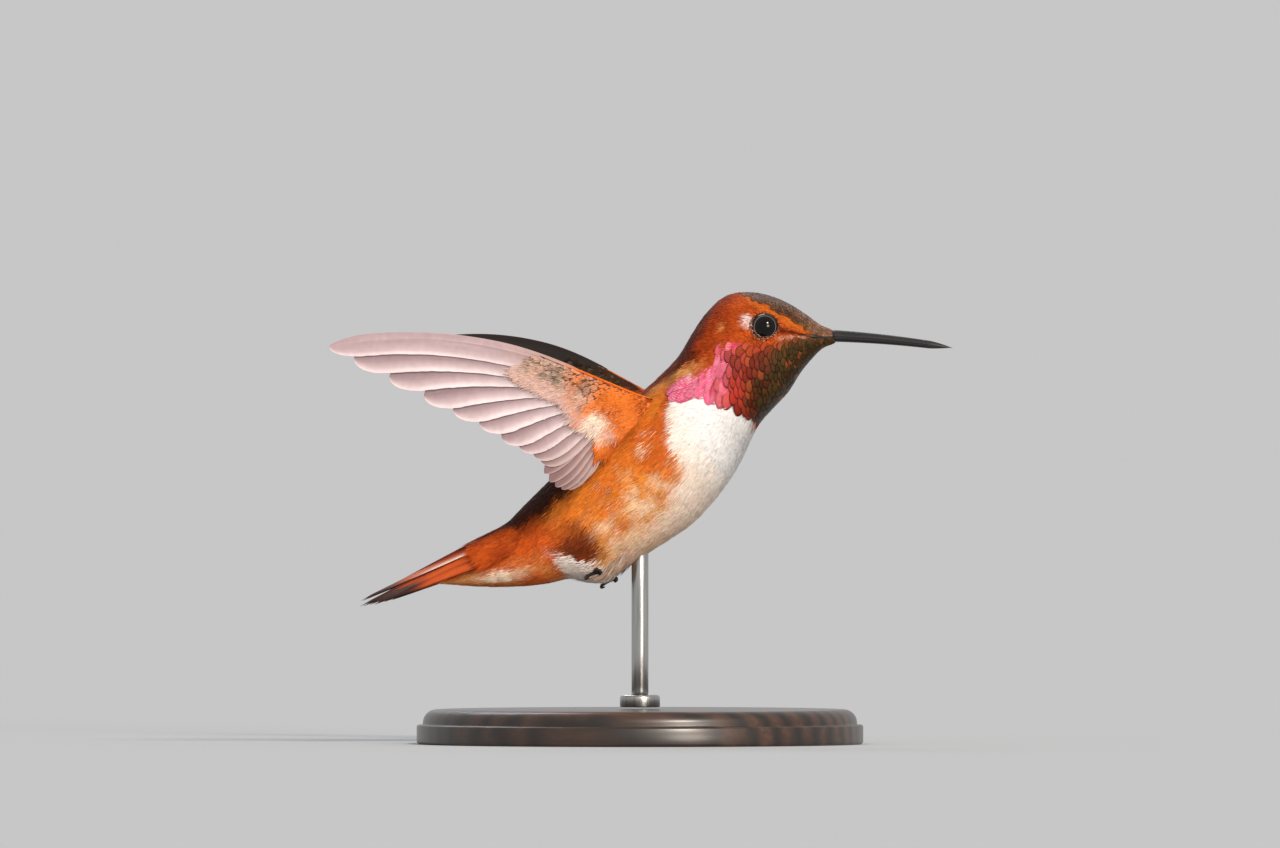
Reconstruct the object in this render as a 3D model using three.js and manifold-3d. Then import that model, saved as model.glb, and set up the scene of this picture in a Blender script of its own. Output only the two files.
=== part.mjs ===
// A male rufous hummingbird at life size, hovering on a plain display stand.
// Millimetres. +X is the way the bill points, +Y is the bird's left and +Z is up.
// The origin is on the floor, at the middle of the stand's underside.
import * as THREE from "three";
import { mergeVertices } from "three/addons/utils/BufferGeometryUtils.js";
import Module from "manifold-3d";

const wasm = await Module();
wasm.setup();

const SIDES = { left: 1, right: -1 };
const GAP = 0.3; // clearance between pieces that meet
const BIG = 200; // larger than the bird, for half-space cutters

// ---------------------------------------------------------------- driving dimensions

// Sections of the head, neck, trunk and tail coverts, from the bill back.
// x, z: centre of the section. tilt: degrees that its top leans back from upright.
// height: back to belly. width: side to side. low: how much of the width sits below the centre.
const BODY_SECTIONS = [
  { at: "bill base", x: 25.5, z: 52.9, tilt: 10, height: 1.7, width: 1.7, low: 0.0 },
  { at: "lores", x: 23.8, z: 52.9, tilt: 6, height: 3.1, width: 3.6, low: 0.02 },
  { at: "forehead", x: 22.1, z: 52.9, tilt: 8, height: 5.9, width: 5.8, low: 0.06 },
  { at: "brow", x: 20.2, z: 52.7, tilt: 10, height: 9.2, width: 8.2, low: 0.1 },
  { at: "eye", x: 18.1, z: 52.0, tilt: 12, height: 12.8, width: 10.4, low: 0.12 },
  { at: "crown", x: 15.8, z: 51.1, tilt: 12, height: 15.4, width: 11.8, low: 0.12 },
  { at: "occiput", x: 13.6, z: 50.0, tilt: 15, height: 17.0, width: 12.4, low: 0.1 },
  { at: "nape", x: 12.0, z: 48.4, tilt: 22, height: 16.6, width: 12.4, low: 0.08 },
  { at: "hind neck", x: 10.6, z: 46.2, tilt: 28, height: 15.9, width: 12.6, low: 0.08 },
  { at: "neck base", x: 9.3, z: 43.8, tilt: 32, height: 15.6, width: 13.4, low: 0.08 },
  { at: "shoulder", x: 7.2, z: 41.1, tilt: 36, height: 16.1, width: 14.8, low: 0.06 },
  { at: "mantle", x: 4.7, z: 38.4, tilt: 37, height: 16.8, width: 15.8, low: 0.04 },
  { at: "back", x: 1.8, z: 35.5, tilt: 38, height: 17.0, width: 16.0, low: 0.04 },
  { at: "loin", x: -1.0, z: 33.2, tilt: 39, height: 16.5, width: 15.2, low: 0.06 },
  { at: "flank", x: -3.85, z: 30.95, tilt: 39, height: 15.75, width: 13.8, low: 0.08 },
  { at: "vent", x: -6.65, z: 28.75, tilt: 37, height: 15.25, width: 12.0, low: 0.08 },
  { at: "rump", x: -9.1, z: 26.9, tilt: 36, height: 14.5, width: 10.2, low: 0.04 },
  { at: "tail base", x: -12.2, z: 26.1, tilt: 35, height: 11.3, width: 8.6, low: 0.0 },
  { at: "coverts", x: -14.8, z: 24.8, tilt: 33, height: 9.5, width: 7.2, low: -0.05 },
  { at: "lower coverts", x: -18.3, z: 23.85, tilt: 22, height: 7.4, width: 5.6, low: -0.1 },
  { at: "covert ends", x: -22.0, z: 22.4, tilt: 8, height: 3.9, width: 3.8, low: -0.1 },
  { at: "last covert", x: -25.6, z: 21.2, tilt: 0, height: 0.9, width: 1.4, low: 0.0 },
];
const HEAD_END = 7.3; // section numbers where the head, neck and trunk are parted
const NECK_END = 9.6;
const TRUNK_END = 16.7;
const PARTING = 0.16; // gap between two lengths of body, in sections
const BODY_SIDES = 24; // points round a section
const BODY_STEPS = { head: 14, neck: 4, trunk: 12, coverts: 9 };
// A slightly larger body clears what is set into it: where that runs from and to, in sections.
const CLEARED = {
  wing: { from: 8, to: 16 },
  tail: { from: 14, to: 21 },
  leg: { from: 12, to: 21 },
};
const CLEARED_STEPS = 12;
const CLEARED_SIDES = 20;

const BILL_ROOT = { x: 25.8, z: 52.95 };
const BILL_LENGTH = 15.2;
const BILL_DROP = 0.75; // the bill's straight slope, over its length
const BILL_CURVE = 0.8; // and its added droop at the tip
const BILL_DEPTH = 1.5;
const BILL_WIDTH = 1.5;
const BILL_TAPER = 0.4; // share of depth and width lost before the point
const BILL_POINT = 0.8; // where along the bill the point starts
const BILL_POINT_LOSS = 0.93; // share of the section lost from there to the tip
const BILL_POINT_ROUND = 1.6; // above 1, the point's outline is convex
const BILL_UPPER_SHARE = 0.58; // share of the depth that is upper bill
const BILL_SLIT = 0.08; // between upper and lower bill
const BILL_LOWER_SHORT = 0.3; // the lower bill ends this far behind the tip
const BILL_STEPS = 12;
const BILL_SIDES = 7; // facets round each half

const EYE_CENTRE = { x: 17.0, y: 3.85, z: 54.1 };
const EYE_RADIUS = 1.85;
const EYE_FACETS = { around: 14, down: 8 };

// The wing's own plane: p runs from the shoulder to the tip, q from the leading to the trailing edge.
const SHOULDER = { x: 1.7, y: 6.5, z: 45.7 };
const WING_SWEEP = 35.5; // degrees that the wing points out from straight back
const WING_LIFT = 7.5; // degrees that it rises
const WING_TUCK = 15; // degrees that the trailing edge turns in at the shoulder
const WING_TUCK_REACH = 24; // and the p where that turn has gone
const WING_CAMBER = 0.9; // rise of the dorsal side at mid chord
const WING_CHORD = 16;
const WING_EDGE = -3; // q of the leading edge
const WRIST = { p: 3.2, q: 0 };
const HAND_TIP = { p: 9, q: -1 };
const ELBOW = { p: 3.4, q: 4 };
const FEATHER_THICKNESS = 0.5;
const FEATHER_LEAN = 0.12; // rise over run across a flight feather, so that they shingle

// Primaries from the innermost, P1, to the outermost, P10: length from the hand, and degrees from the
// wing's line.
const PRIMARY_LENGTHS = [15.1, 15.1, 15.9, 17.2, 19.1, 21.8, 25.1, 29.4, 34.0, 36.6];
const PRIMARY_ANGLES = [49, 45.6, 39.1, 32.4, 24.2, 17.7, 12.3, 7.1, 3.4, 1.6];
const PRIMARY_LEAD = 1.5; // width of the vane in front of the shaft
const PRIMARY_TRAIL = 2.7; // and behind it
const PRIMARY_OUTER_LEAD = 0.9; // the same two widths on P10
const PRIMARY_OUTER_TRAIL = 2.6;
const PRIMARY_BOW = 2.4; // how far P10's shaft bows forward
const PRIMARY_ROUND = { inner: 1.1, outer: 1.6 }; // how blunt the trailing vane ends, on P1 and on P10
const SECONDARY_LENGTHS = [14.9, 14.6, 13.9, 13.0, 11.9, 10.1];
const SECONDARY_ANGLES = [52.7, 56.5, 60.4, 63.7, 66.5, 67.1];
const SECONDARY_LEAD = 1.4;
const SECONDARY_TRAIL = 2.0;
const SECONDARY_START = 0.7; // place of the first one after the wrist, in steps between feathers
const FLIGHT_TIP = { start: 0.7, round: 1 };
const HAND_PARTING = 4; // depth of the cut that parts the secondaries from P1

const ARM_REACH = 21; // the coverts and muscle of the arm end here along p
const ARM_THICKNESS = 1.9; // at the shoulder
const ARM_TIP_SHARE = 0.45; // thickness left at the far end
const ARM_EDGE = { q: 0.8, slope: -0.185 }; // leading edge of the arm
const ARM_BACK = 8.6; // q of the coverts' rear edge at the shoulder
const ARM_BACK_LOSS = 0.93; // share of that lost at the far end
const ARM_BACK_ROUND = 1.1;
const ARM_STEPS = 9;
const ARM_SIDES = 12;

// The tail: rectrices R1, at the middle, to R5, folded like a roof.
const TAIL_ROOT = { x: -11.5, z: 31.0 };
const TAIL_SLOPE = 25.4; // degrees down from level, going back
const RECTRIX_LENGTHS = [28.0, 28.3, 27.0, 25.8, 24.8];
const RECTRIX_SPREAD = [0.8, 1.4, 1.9, 2.3, 2.6]; // sideways place of each tip
const RECTRIX_DROP = [0.45, 1.1, 1.5, 1.7, 1.9]; // how far each tip hangs below the tail's line
const RECTRIX_ROOT_DROP = 1.2; // how much further than its tip a feather's root hangs, as a share
const RECTRIX_ROOF = [18, 32, 44, 54, 62]; // degrees that each vane slopes off sideways
const RECTRIX_HALF_WIDTHS = [2.5, 2.2, 2.0, 1.8, 1.7];
const RECTRIX_TIP = { start: 0.3, round: 0.55 };

const TARSUS_RADIUS = 0.35;
const TOE_RADIUS = 0.28;
// Where each foot hangs: section number, degrees round from the back, and distance off the belly.
const FOOT_PLACE = {
  left: { v: 15.95, angle: 160, hang: 0.45 },
  right: { v: 15.4, angle: 138, hang: 0.5 },
};
const TOE_FAN = [-26, 0, 26, 180]; // three toes forward and one back, degrees
// A toe's path away from the ankle along the belly, and off it, from its root to its claw.
const TOE_CURL = [
  { reach: 0, off: 0 },
  { reach: 0.76, off: 0.15 },
  { reach: 1.14, off: 0.5 },
  { reach: 0.8, off: 0.8 },
];
const TOE_TAPER = 0.45; // share of the radius lost at the claw
const TOE_STEPS = 4;
const TOE_SIDES = 5;
const TARSUS_SIDES = 6;
const BELLY_STEP = 0.5; // sections forward that give the belly's line at a foot

const BASE_RADIUS = 29;
const BASE_HEIGHT = 4.5;
const BASE_CHAMFER = 0.8;
const ROD_RADIUS = 1.1;
const ROD_TOP = 29;
const COLLAR_RADIUS = 2.6;
const COLLAR_HEIGHT = 1.6;
const BASE_SIDES = 56;
const ROD_SIDES = 16;

const FINISHES = {
  rufous: { color: 0xb8521c, roughness: 0.8, metalness: 0 },
  throat: { color: 0x9c3230, roughness: 0.45, metalness: 0.2 },
  breast: { color: 0xe2b48c, roughness: 0.85, metalness: 0 },
  flight: { color: 0xc4aeb0, roughness: 0.6, metalness: 0 },
  tail: { color: 0x9c4620, roughness: 0.65, metalness: 0 },
  bill: { color: 0x1c1a1c, roughness: 0.4, metalness: 0 },
  eye: { color: 0x0a0806, roughness: 0.08, metalness: 0 },
  foot: { color: 0x2a2422, roughness: 0.6, metalness: 0 },
  wood: { color: 0x2c2622, roughness: 0.5, metalness: 0 },
  steel: { color: 0xb8b8b6, roughness: 0.3, metalness: 1 },
};

// ---------------------------------------------------------------- meshes and booleans

const radians = THREE.MathUtils.degToRad;
const lerp = THREE.MathUtils.lerp;
const smoothstep = THREE.MathUtils.smoothstep;

// Six times the volume that a triangle list encloses, negative where it faces inwards.
function signedVolume(points, faces) {
  let sum = 0;
  for (let i = 0; i < faces.length; i += 3) {
    const [a, b, c] = [points[faces[i]], points[faces[i + 1]], points[faces[i + 2]]];
    sum += a.dot(b.clone().cross(c));
  }
  return sum;
}

// A closed surface through a row of rings, each end shut by a fan to its middle.
function loft(rings) {
  const around = rings[0].length;
  const points = rings.flat();
  const faces = [];
  for (let i = 0; i + 1 < rings.length; i += 1) {
    for (let j = 0; j < around; j += 1) {
      const a = i * around + j;
      const b = i * around + ((j + 1) % around);
      faces.push(a, b, a + around, b, b + around, a + around);
    }
  }
  for (const end of [0, rings.length - 1]) {
    const middle = new THREE.Vector3();
    rings[end].forEach((point) => middle.addScaledVector(point, 1 / around));
    const hub = points.push(middle) - 1;
    for (let j = 0; j < around; j += 1) {
      const a = end * around + j;
      const b = end * around + ((j + 1) % around);
      faces.push(...(end === 0 ? [hub, b, a] : [hub, a, b]));
    }
  }
  if (signedVolume(points, faces) < 0) faces.reverse();
  const geometry = new THREE.BufferGeometry().setFromPoints(points);
  geometry.setIndex(faces);
  return geometry;
}

// A round bar along a curve, its radius given at each share of its length.
function bar(curve, radiusAt, steps, around) {
  const frames = curve.computeFrenetFrames(steps, false);
  const rings = [];
  for (let i = 0; i <= steps; i += 1) {
    const centre = curve.getPointAt(i / steps);
    const ring = [];
    for (let j = 0; j < around; j += 1) {
      const angle = (2 * Math.PI * j) / around;
      ring.push(
        centre
          .clone()
          .addScaledVector(frames.normals[i], radiusAt(i / steps) * Math.cos(angle))
          .addScaledVector(frames.binormals[i], radiusAt(i / steps) * Math.sin(angle)),
      );
    }
    rings.push(ring);
  }
  return loft(rings);
}

function toSolid(geometry) {
  const bare = geometry.clone();
  bare.deleteAttribute("normal");
  bare.deleteAttribute("uv");
  const merged = mergeVertices(bare);
  return new wasm.Manifold(
    new wasm.Mesh({
      numProp: 3,
      vertProperties: merged.attributes.position.array,
      triVerts: new Uint32Array(merged.index.array),
    }),
  );
}

function toGeometry(solid) {
  const cut = solid.getMesh();
  const geometry = new THREE.BufferGeometry();
  geometry.setAttribute("position", new THREE.BufferAttribute(cut.vertProperties, 3));
  geometry.setIndex(new THREE.BufferAttribute(cut.triVerts, 1));
  return geometry;
}

function union(geometries) {
  return geometries.map(toSolid).reduce((whole, piece) => whole.add(piece));
}

// A cutter that takes away everything across the bird's middle plane from one side.
function acrossMiddle(side) {
  const slab = new THREE.BoxGeometry(BIG, BIG, BIG);
  slab.translate(0, -side * (BIG / 2 - GAP / 2), 0);
  return toSolid(slab);
}

const bird = new THREE.Group();

function addMesh(name, geometry, finish) {
  geometry.computeVertexNormals();
  const mesh = new THREE.Mesh(geometry, new THREE.MeshStandardMaterial(FINISHES[finish]));
  mesh.name = name;
  bird.add(mesh);
}

// ---------------------------------------------------------------- head, neck, trunk, coverts

const LAST_SECTION = BODY_SECTIONS.length - 1;
const spine = new THREE.CatmullRomCurve3(
  BODY_SECTIONS.map((section) => new THREE.Vector3(section.x, section.tilt, section.z)),
  false,
  "catmullrom",
);
const girth = new THREE.CatmullRomCurve3(
  BODY_SECTIONS.map((section) => new THREE.Vector3(section.height, section.width, section.low)),
  false,
  "catmullrom",
);

// A point of the body's surface: v counts sections from the bill, angle turns from the back (0) over
// the left side to the belly, and grow moves the surface outwards.
function bodyPoint(v, angle, grow = 0) {
  const centre = spine.getPoint(v / LAST_SECTION);
  const size = girth.getPoint(v / LAST_SECTION);
  const tilt = radians(centre.y);
  const up = (size.x / 2 + grow) * Math.cos(angle);
  const out = (size.y / 2 + grow) * Math.sin(angle) * (1 - size.z * Math.cos(angle));
  return new THREE.Vector3(centre.x - up * Math.sin(tilt), out, centre.z + up * Math.cos(tilt));
}

function bodyLength(from, to, steps, grow = 0, around = BODY_SIDES) {
  const rings = [];
  for (let i = 0; i <= steps; i += 1) {
    const v = lerp(from, to, i / steps);
    const ring = [];
    for (let j = 0; j < around; j += 1) ring.push(bodyPoint(v, (2 * Math.PI * j) / around, grow));
    rings.push(ring);
  }
  return loft(rings);
}

function bodyCutter({ from, to }) {
  return toSolid(bodyLength(from, to, CLEARED_STEPS, GAP, CLEARED_SIDES));
}

function eyeBall(side, grow = 0) {
  const ball = new THREE.SphereGeometry(EYE_RADIUS + grow, EYE_FACETS.around, EYE_FACETS.down);
  ball.translate(EYE_CENTRE.x, side * EYE_CENTRE.y, EYE_CENTRE.z);
  return ball;
}

function makeHead() {
  let head = toSolid(bodyLength(0, HEAD_END - PARTING / 2, BODY_STEPS.head));
  for (const [name, side] of Object.entries(SIDES)) {
    head = head.subtract(toSolid(eyeBall(side, GAP / 2)));
    addMesh(`eye_${name}`, eyeBall(side), "eye");
  }
  addMesh("head", toGeometry(head), "rufous");
}

function makeNeck() {
  const neck = bodyLength(HEAD_END + PARTING / 2, NECK_END - PARTING / 2, BODY_STEPS.neck);
  addMesh("neck", neck, "throat");
}

// The trunk has a blind bore in its belly for the stand's rod.
function makeTrunk() {
  const bore = new THREE.CylinderGeometry(ROD_RADIUS + GAP, ROD_RADIUS + GAP, ROD_TOP, ROD_SIDES);
  bore.rotateX(Math.PI / 2);
  bore.translate(0, 0, ROD_TOP / 2 + GAP);
  const whole = bodyLength(NECK_END + PARTING / 2, TRUNK_END - PARTING / 2, BODY_STEPS.trunk);
  addMesh("trunk", toGeometry(toSolid(whole).subtract(toSolid(bore))), "breast");
}

function makeTailCoverts() {
  const coverts = bodyLength(TRUNK_END + PARTING / 2, LAST_SECTION, BODY_STEPS.coverts);
  addMesh("tail_coverts", coverts, "tail");
}

// ---------------------------------------------------------------- bill

// One half of the bill: its section is half an ellipse, flat where it meets the other half.
function billHalf(isUpper) {
  const length = isUpper ? BILL_LENGTH : BILL_LENGTH - BILL_LOWER_SHORT;
  const way = isUpper ? 1 : -1;
  const share = isUpper ? BILL_UPPER_SHARE : 1 - BILL_UPPER_SHARE;
  const rings = [];
  for (let i = 0; i <= BILL_STEPS; i += 1) {
    const t = Math.sin((Math.PI / 2) * (i / BILL_STEPS));
    const along = (length * t) / BILL_LENGTH;
    const inPoint = Math.max(0, (t - BILL_POINT) / (1 - BILL_POINT));
    const taper = (1 - BILL_TAPER * t) * (1 - BILL_POINT_LOSS * inPoint ** BILL_POINT_ROUND);
    const seam = BILL_ROOT.z - BILL_DROP * along - BILL_CURVE * along ** 2;
    const middle = seam + BILL_DEPTH * (0.5 - BILL_UPPER_SHARE) * taper;
    const ring = [];
    for (let j = 0; j <= BILL_SIDES; j += 1) {
      const angle = (Math.PI * j) / BILL_SIDES;
      const y = (BILL_WIDTH / 2) * taper * Math.cos(angle);
      const z = BILL_DEPTH * share * taper * Math.sin(angle) + BILL_SLIT / 2;
      ring.push(new THREE.Vector3(BILL_ROOT.x + BILL_LENGTH * along, y, middle + way * z));
    }
    rings.push(ring);
  }
  return loft(rings);
}

// ---------------------------------------------------------------- feathers

const BLADE_STEPS = [0, 0.32, 0.62, 0.82, 0.94, 1];
const BLADE_ROOT_SHARE = 0.6; // width of a blade at its root
const BLADE_OPEN = 0.35; // share of its length over which it opens to its full width
const BLADE_END_SHARE = 0.07; // width left at the very tip

// Width of a feather along its length: it opens from the root, and from the tip's start on it closes,
// bluntly where round is above 1 and to a fine point where round is below 1.
function bladeWidth(t, { start, round }) {
  const open = lerp(BLADE_ROOT_SHARE, 1, smoothstep(t, 0, BLADE_OPEN));
  const s = Math.max(0, (t - start) / (1 - start));
  return Math.max(open * (1 - s ** (2 * round)) ** (1 / (2 * round)), BLADE_END_SHARE);
}

// A flat blade about a bowed shaft. place(a, b, r) puts the plane's point (a, b), raised by r, in space.
function blade(feather, place, { margin = 0, thickness = FEATHER_THICKNESS } = {}) {
  const { root, length, angle, bow, lead, trail, lean, leadTip, trailTip } = feather;
  const way = new THREE.Vector2(Math.cos(radians(angle)), Math.sin(radians(angle)));
  const across = new THREE.Vector2(-way.y, way.x);
  const rings = BLADE_STEPS.map((t) => {
    const shaft = root
      .clone()
      .addScaledVector(way, length * t)
      .addScaledVector(across, -bow * 4 * t * (1 - t));
    const corner = (offset, rise) => {
      const point = shaft.clone().addScaledVector(across, offset);
      return place(point.x, point.y, rise - lean * offset);
    };
    const front = -lead * bladeWidth(t, leadTip) - margin;
    const rear = trail * bladeWidth(t, trailTip) + margin;
    const half = thickness / 2;
    return [corner(front, half), corner(front, -half), corner(rear, -half), corner(rear, half)];
  });
  return loft(rings);
}

// ---------------------------------------------------------------- wings

const sweep = radians(WING_SWEEP);
const lift = radians(WING_LIFT);
const wingLine = new THREE.Vector3(
  -Math.cos(sweep) * Math.cos(lift),
  Math.sin(sweep) * Math.cos(lift),
  Math.sin(lift),
);
const wingInward = new THREE.Vector3(-Math.sin(sweep), -Math.cos(sweep), 0);
const wingDown = wingInward.clone().cross(wingLine).normalize();
if (wingDown.z > 0) wingDown.negate();

// The point (p, q) of a wing's plane, raised by r towards its dorsal side, which faces inwards.
function wingPoint(side, p, q, r) {
  const tuck = radians(WING_TUCK * (1 - smoothstep(p, 0, WING_TUCK_REACH)));
  const chord = THREE.MathUtils.clamp((q - WING_EDGE) / WING_CHORD, 0, 1);
  const rise = r + WING_CAMBER * Math.sin(Math.PI * chord);
  const point = new THREE.Vector3(SHOULDER.x, SHOULDER.y, SHOULDER.z);
  point.addScaledVector(wingLine, p);
  point.addScaledVector(wingDown, q * Math.cos(tuck) - rise * Math.sin(tuck));
  point.addScaledVector(wingInward, q * Math.sin(tuck) + rise * Math.cos(tuck));
  return point.setY(side * point.y);
}

function primary(number) {
  const t = number / (PRIMARY_LENGTHS.length - 1);
  return {
    root: new THREE.Vector2(lerp(WRIST.p, HAND_TIP.p, t), lerp(WRIST.q, HAND_TIP.q, t)),
    length: PRIMARY_LENGTHS[number],
    angle: PRIMARY_ANGLES[number],
    bow: PRIMARY_BOW * t ** 2,
    lead: lerp(PRIMARY_LEAD, PRIMARY_OUTER_LEAD, t),
    trail: lerp(PRIMARY_TRAIL, PRIMARY_OUTER_TRAIL, t),
    lean: FEATHER_LEAN,
    leadTip: FLIGHT_TIP,
    trailTip: { ...FLIGHT_TIP, round: lerp(PRIMARY_ROUND.inner, PRIMARY_ROUND.outer, t) },
  };
}

function secondary(number) {
  const t = (number + SECONDARY_START) / SECONDARY_LENGTHS.length;
  return {
    root: new THREE.Vector2(lerp(WRIST.p, ELBOW.p, t), lerp(WRIST.q, ELBOW.q, t)),
    length: SECONDARY_LENGTHS[number],
    angle: SECONDARY_ANGLES[number],
    bow: 0,
    lead: SECONDARY_LEAD,
    trail: SECONDARY_TRAIL,
    lean: FEATHER_LEAN,
    leadTip: FLIGHT_TIP,
    trailTip: FLIGHT_TIP,
  };
}

// The arm with its muscle and coverts: a lens-shaped section that thins towards the hand.
function wingArm(side, grow = 0) {
  const rings = [];
  for (let i = 0; i <= ARM_STEPS; i += 1) {
    const t = i / ARM_STEPS;
    const p = ARM_REACH * t + (i === ARM_STEPS ? grow : 0);
    const front = ARM_EDGE.q + ARM_EDGE.slope * p - grow;
    const rear = ARM_BACK * (1 - ARM_BACK_LOSS * t ** 2) ** ARM_BACK_ROUND + grow;
    const half = (ARM_THICKNESS / 2) * lerp(1, ARM_TIP_SHARE, t) + grow;
    const ring = [];
    for (let j = 0; j < ARM_SIDES; j += 1) {
      const angle = (2 * Math.PI * j) / ARM_SIDES;
      const q = lerp(front, rear, (1 - Math.cos(angle)) / 2);
      ring.push(wingPoint(side, p, q, half * Math.sin(angle)));
    }
    rings.push(ring);
  }
  return toSolid(loft(rings));
}

function makeWing(name, side) {
  const place = (p, q, r) => wingPoint(side, p, q, r);
  const body = bodyCutter(CLEARED.wing);
  const clearArm = wingArm(side, GAP);
  const primaries = PRIMARY_LENGTHS.map((_, number) => blade(primary(number), place));
  const secondaries = SECONDARY_LENGTHS.map((_, number) => blade(secondary(number), place));
  const parting = toSolid(blade(primary(0), place, { margin: GAP, thickness: HAND_PARTING }));
  const hand = union(primaries).subtract(clearArm).subtract(body);
  const forearm = union(secondaries).subtract(parting).subtract(clearArm).subtract(body);
  addMesh(`wing_arm_${name}`, toGeometry(wingArm(side).subtract(body)), "rufous");
  addMesh(`wing_primaries_${name}`, toGeometry(hand), "flight");
  addMesh(`wing_secondaries_${name}`, toGeometry(forearm), "flight");
}

// ---------------------------------------------------------------- tail

const tailSlope = radians(TAIL_SLOPE);
const tailLine = new THREE.Vector3(-Math.cos(tailSlope), 0, -Math.sin(tailSlope));
const tailUp = new THREE.Vector3(-Math.sin(tailSlope), 0, Math.cos(tailSlope));

function rectrix(number, side) {
  const roof = radians(RECTRIX_ROOF[number]);
  const place = (along, across, rise) => {
    const share = along / RECTRIX_LENGTHS[number];
    const flat = across * Math.cos(roof) + rise * Math.sin(roof);
    const up = rise * Math.cos(roof) - across * Math.sin(roof);
    const point = new THREE.Vector3(TAIL_ROOT.x, 0, TAIL_ROOT.z);
    point.addScaledVector(tailLine, along);
    point.addScaledVector(tailUp, up - RECTRIX_DROP[number] * lerp(RECTRIX_ROOT_DROP, 1, share));
    return point.setY(side * (RECTRIX_SPREAD[number] + flat));
  };
  const half = RECTRIX_HALF_WIDTHS[number];
  const feather = {
    root: new THREE.Vector2(0, 0),
    length: RECTRIX_LENGTHS[number],
    angle: 0,
    bow: 0,
    lead: half,
    trail: half,
    lean: 0,
    leadTip: RECTRIX_TIP,
    trailTip: RECTRIX_TIP,
  };
  return blade(feather, place);
}

function makeTailHalf(name, side) {
  const coverts = bodyCutter(CLEARED.tail);
  const feathers = union(RECTRIX_LENGTHS.map((_, number) => rectrix(number, side)));
  const half = feathers.subtract(coverts).subtract(acrossMiddle(side));
  addMesh(`tail_feathers_${name}`, toGeometry(half), "tail");
}

// ---------------------------------------------------------------- legs

// A toe leaves the ankle along the belly, forwards or back, and curls in again to its claw.
function toe(ankle, ahead, off, fan) {
  const aside = off.clone().cross(ahead);
  const way = ahead.clone().multiplyScalar(Math.cos(radians(fan)));
  way.addScaledVector(aside, Math.sin(radians(fan)));
  const path = TOE_CURL.map((step) =>
    ankle.clone().addScaledVector(way, step.reach).addScaledVector(off, step.off),
  );
  const radiusAt = (t) => TOE_RADIUS * (1 - TOE_TAPER * t);
  return bar(new THREE.CatmullRomCurve3(path), radiusAt, TOE_STEPS, TOE_SIDES);
}

function makeLeg(name, side) {
  const { v, angle, hang } = FOOT_PLACE[name];
  const round = side * radians(angle);
  const ankle = bodyPoint(v, round, hang);
  const knee = bodyPoint(v, round, -TARSUS_RADIUS);
  const ahead = bodyPoint(v - BELLY_STEP, round, hang).sub(ankle).normalize();
  const off = ankle.clone().sub(knee);
  off.addScaledVector(ahead, -off.dot(ahead)).normalize();
  const tarsus = bar(new THREE.LineCurve3(knee, ankle), () => TARSUS_RADIUS, 1, TARSUS_SIDES);
  const toes = TOE_FAN.map((fan) => toe(ankle, ahead, off, fan));
  const leg = union([tarsus, ...toes]).subtract(bodyCutter(CLEARED.leg));
  addMesh(`leg_${name}`, toGeometry(leg), "foot");
}

// ---------------------------------------------------------------- stand

function turned(profile, around) {
  const lathe = new THREE.LatheGeometry(profile.map(([x, y]) => new THREE.Vector2(x, y)), around);
  return toGeometry(toSolid(lathe.rotateX(Math.PI / 2)));
}

function makeStand() {
  const rim = BASE_RADIUS - BASE_CHAMFER;
  const base = [
    [0, 0],
    [BASE_RADIUS, 0],
    [BASE_RADIUS, BASE_HEIGHT - BASE_CHAMFER],
    [rim, BASE_HEIGHT],
    [0, BASE_HEIGHT],
  ];
  const foot = BASE_HEIGHT + GAP;
  const collarTop = foot + COLLAR_HEIGHT;
  const bored = ROD_RADIUS + GAP;
  const collar = [
    [bored, foot],
    [COLLAR_RADIUS, foot],
    [COLLAR_RADIUS, collarTop - GAP],
    [COLLAR_RADIUS - GAP, collarTop],
    [bored, collarTop],
    [bored, foot],
  ];
  const rod = [
    [0, foot],
    [ROD_RADIUS, foot],
    [ROD_RADIUS, ROD_TOP],
    [0, ROD_TOP],
  ];
  addMesh("stand_base", turned(base, BASE_SIDES), "wood");
  addMesh("stand_collar", turned(collar, ROD_SIDES), "steel");
  addMesh("stand_rod", turned(rod, ROD_SIDES), "steel");
}

// ---------------------------------------------------------------- the bird on its stand

makeHead();
addMesh("bill_upper", billHalf(true), "bill");
addMesh("bill_lower", billHalf(false), "bill");
makeNeck();
makeTrunk();
makeTailCoverts();
for (const [name, side] of Object.entries(SIDES)) {
  makeWing(name, side);
  makeTailHalf(name, side);
  makeLeg(name, side);
}
makeStand();

export default bird;
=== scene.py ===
"""Looks of a life-size male rufous hummingbird, hovering on a plain display stand.

Sizes are millimetres and angles degrees, in the frame of the part: +X is the way the bill points, +Y the
bird's left and +Z up. put_mesh turns them to metres.
"""

import logging
from dataclasses import dataclass, field, replace
from enum import Enum
from typing import Callable, Iterable, Optional

import bpy
import numpy as np
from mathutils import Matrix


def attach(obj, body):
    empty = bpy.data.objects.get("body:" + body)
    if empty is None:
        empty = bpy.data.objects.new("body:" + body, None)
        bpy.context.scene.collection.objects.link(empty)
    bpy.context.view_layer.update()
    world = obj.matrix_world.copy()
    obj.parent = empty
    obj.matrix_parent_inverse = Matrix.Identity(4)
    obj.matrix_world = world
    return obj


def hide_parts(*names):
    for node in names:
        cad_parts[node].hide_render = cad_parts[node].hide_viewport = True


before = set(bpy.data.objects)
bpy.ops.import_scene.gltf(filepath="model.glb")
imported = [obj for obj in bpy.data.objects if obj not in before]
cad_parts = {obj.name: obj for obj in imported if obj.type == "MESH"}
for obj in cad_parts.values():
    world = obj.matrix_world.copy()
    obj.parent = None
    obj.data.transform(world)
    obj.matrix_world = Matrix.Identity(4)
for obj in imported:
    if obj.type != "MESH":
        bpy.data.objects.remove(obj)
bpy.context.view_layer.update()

Array = np.ndarray
Random = np.random.Generator
Material = bpy.types.Material
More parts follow.
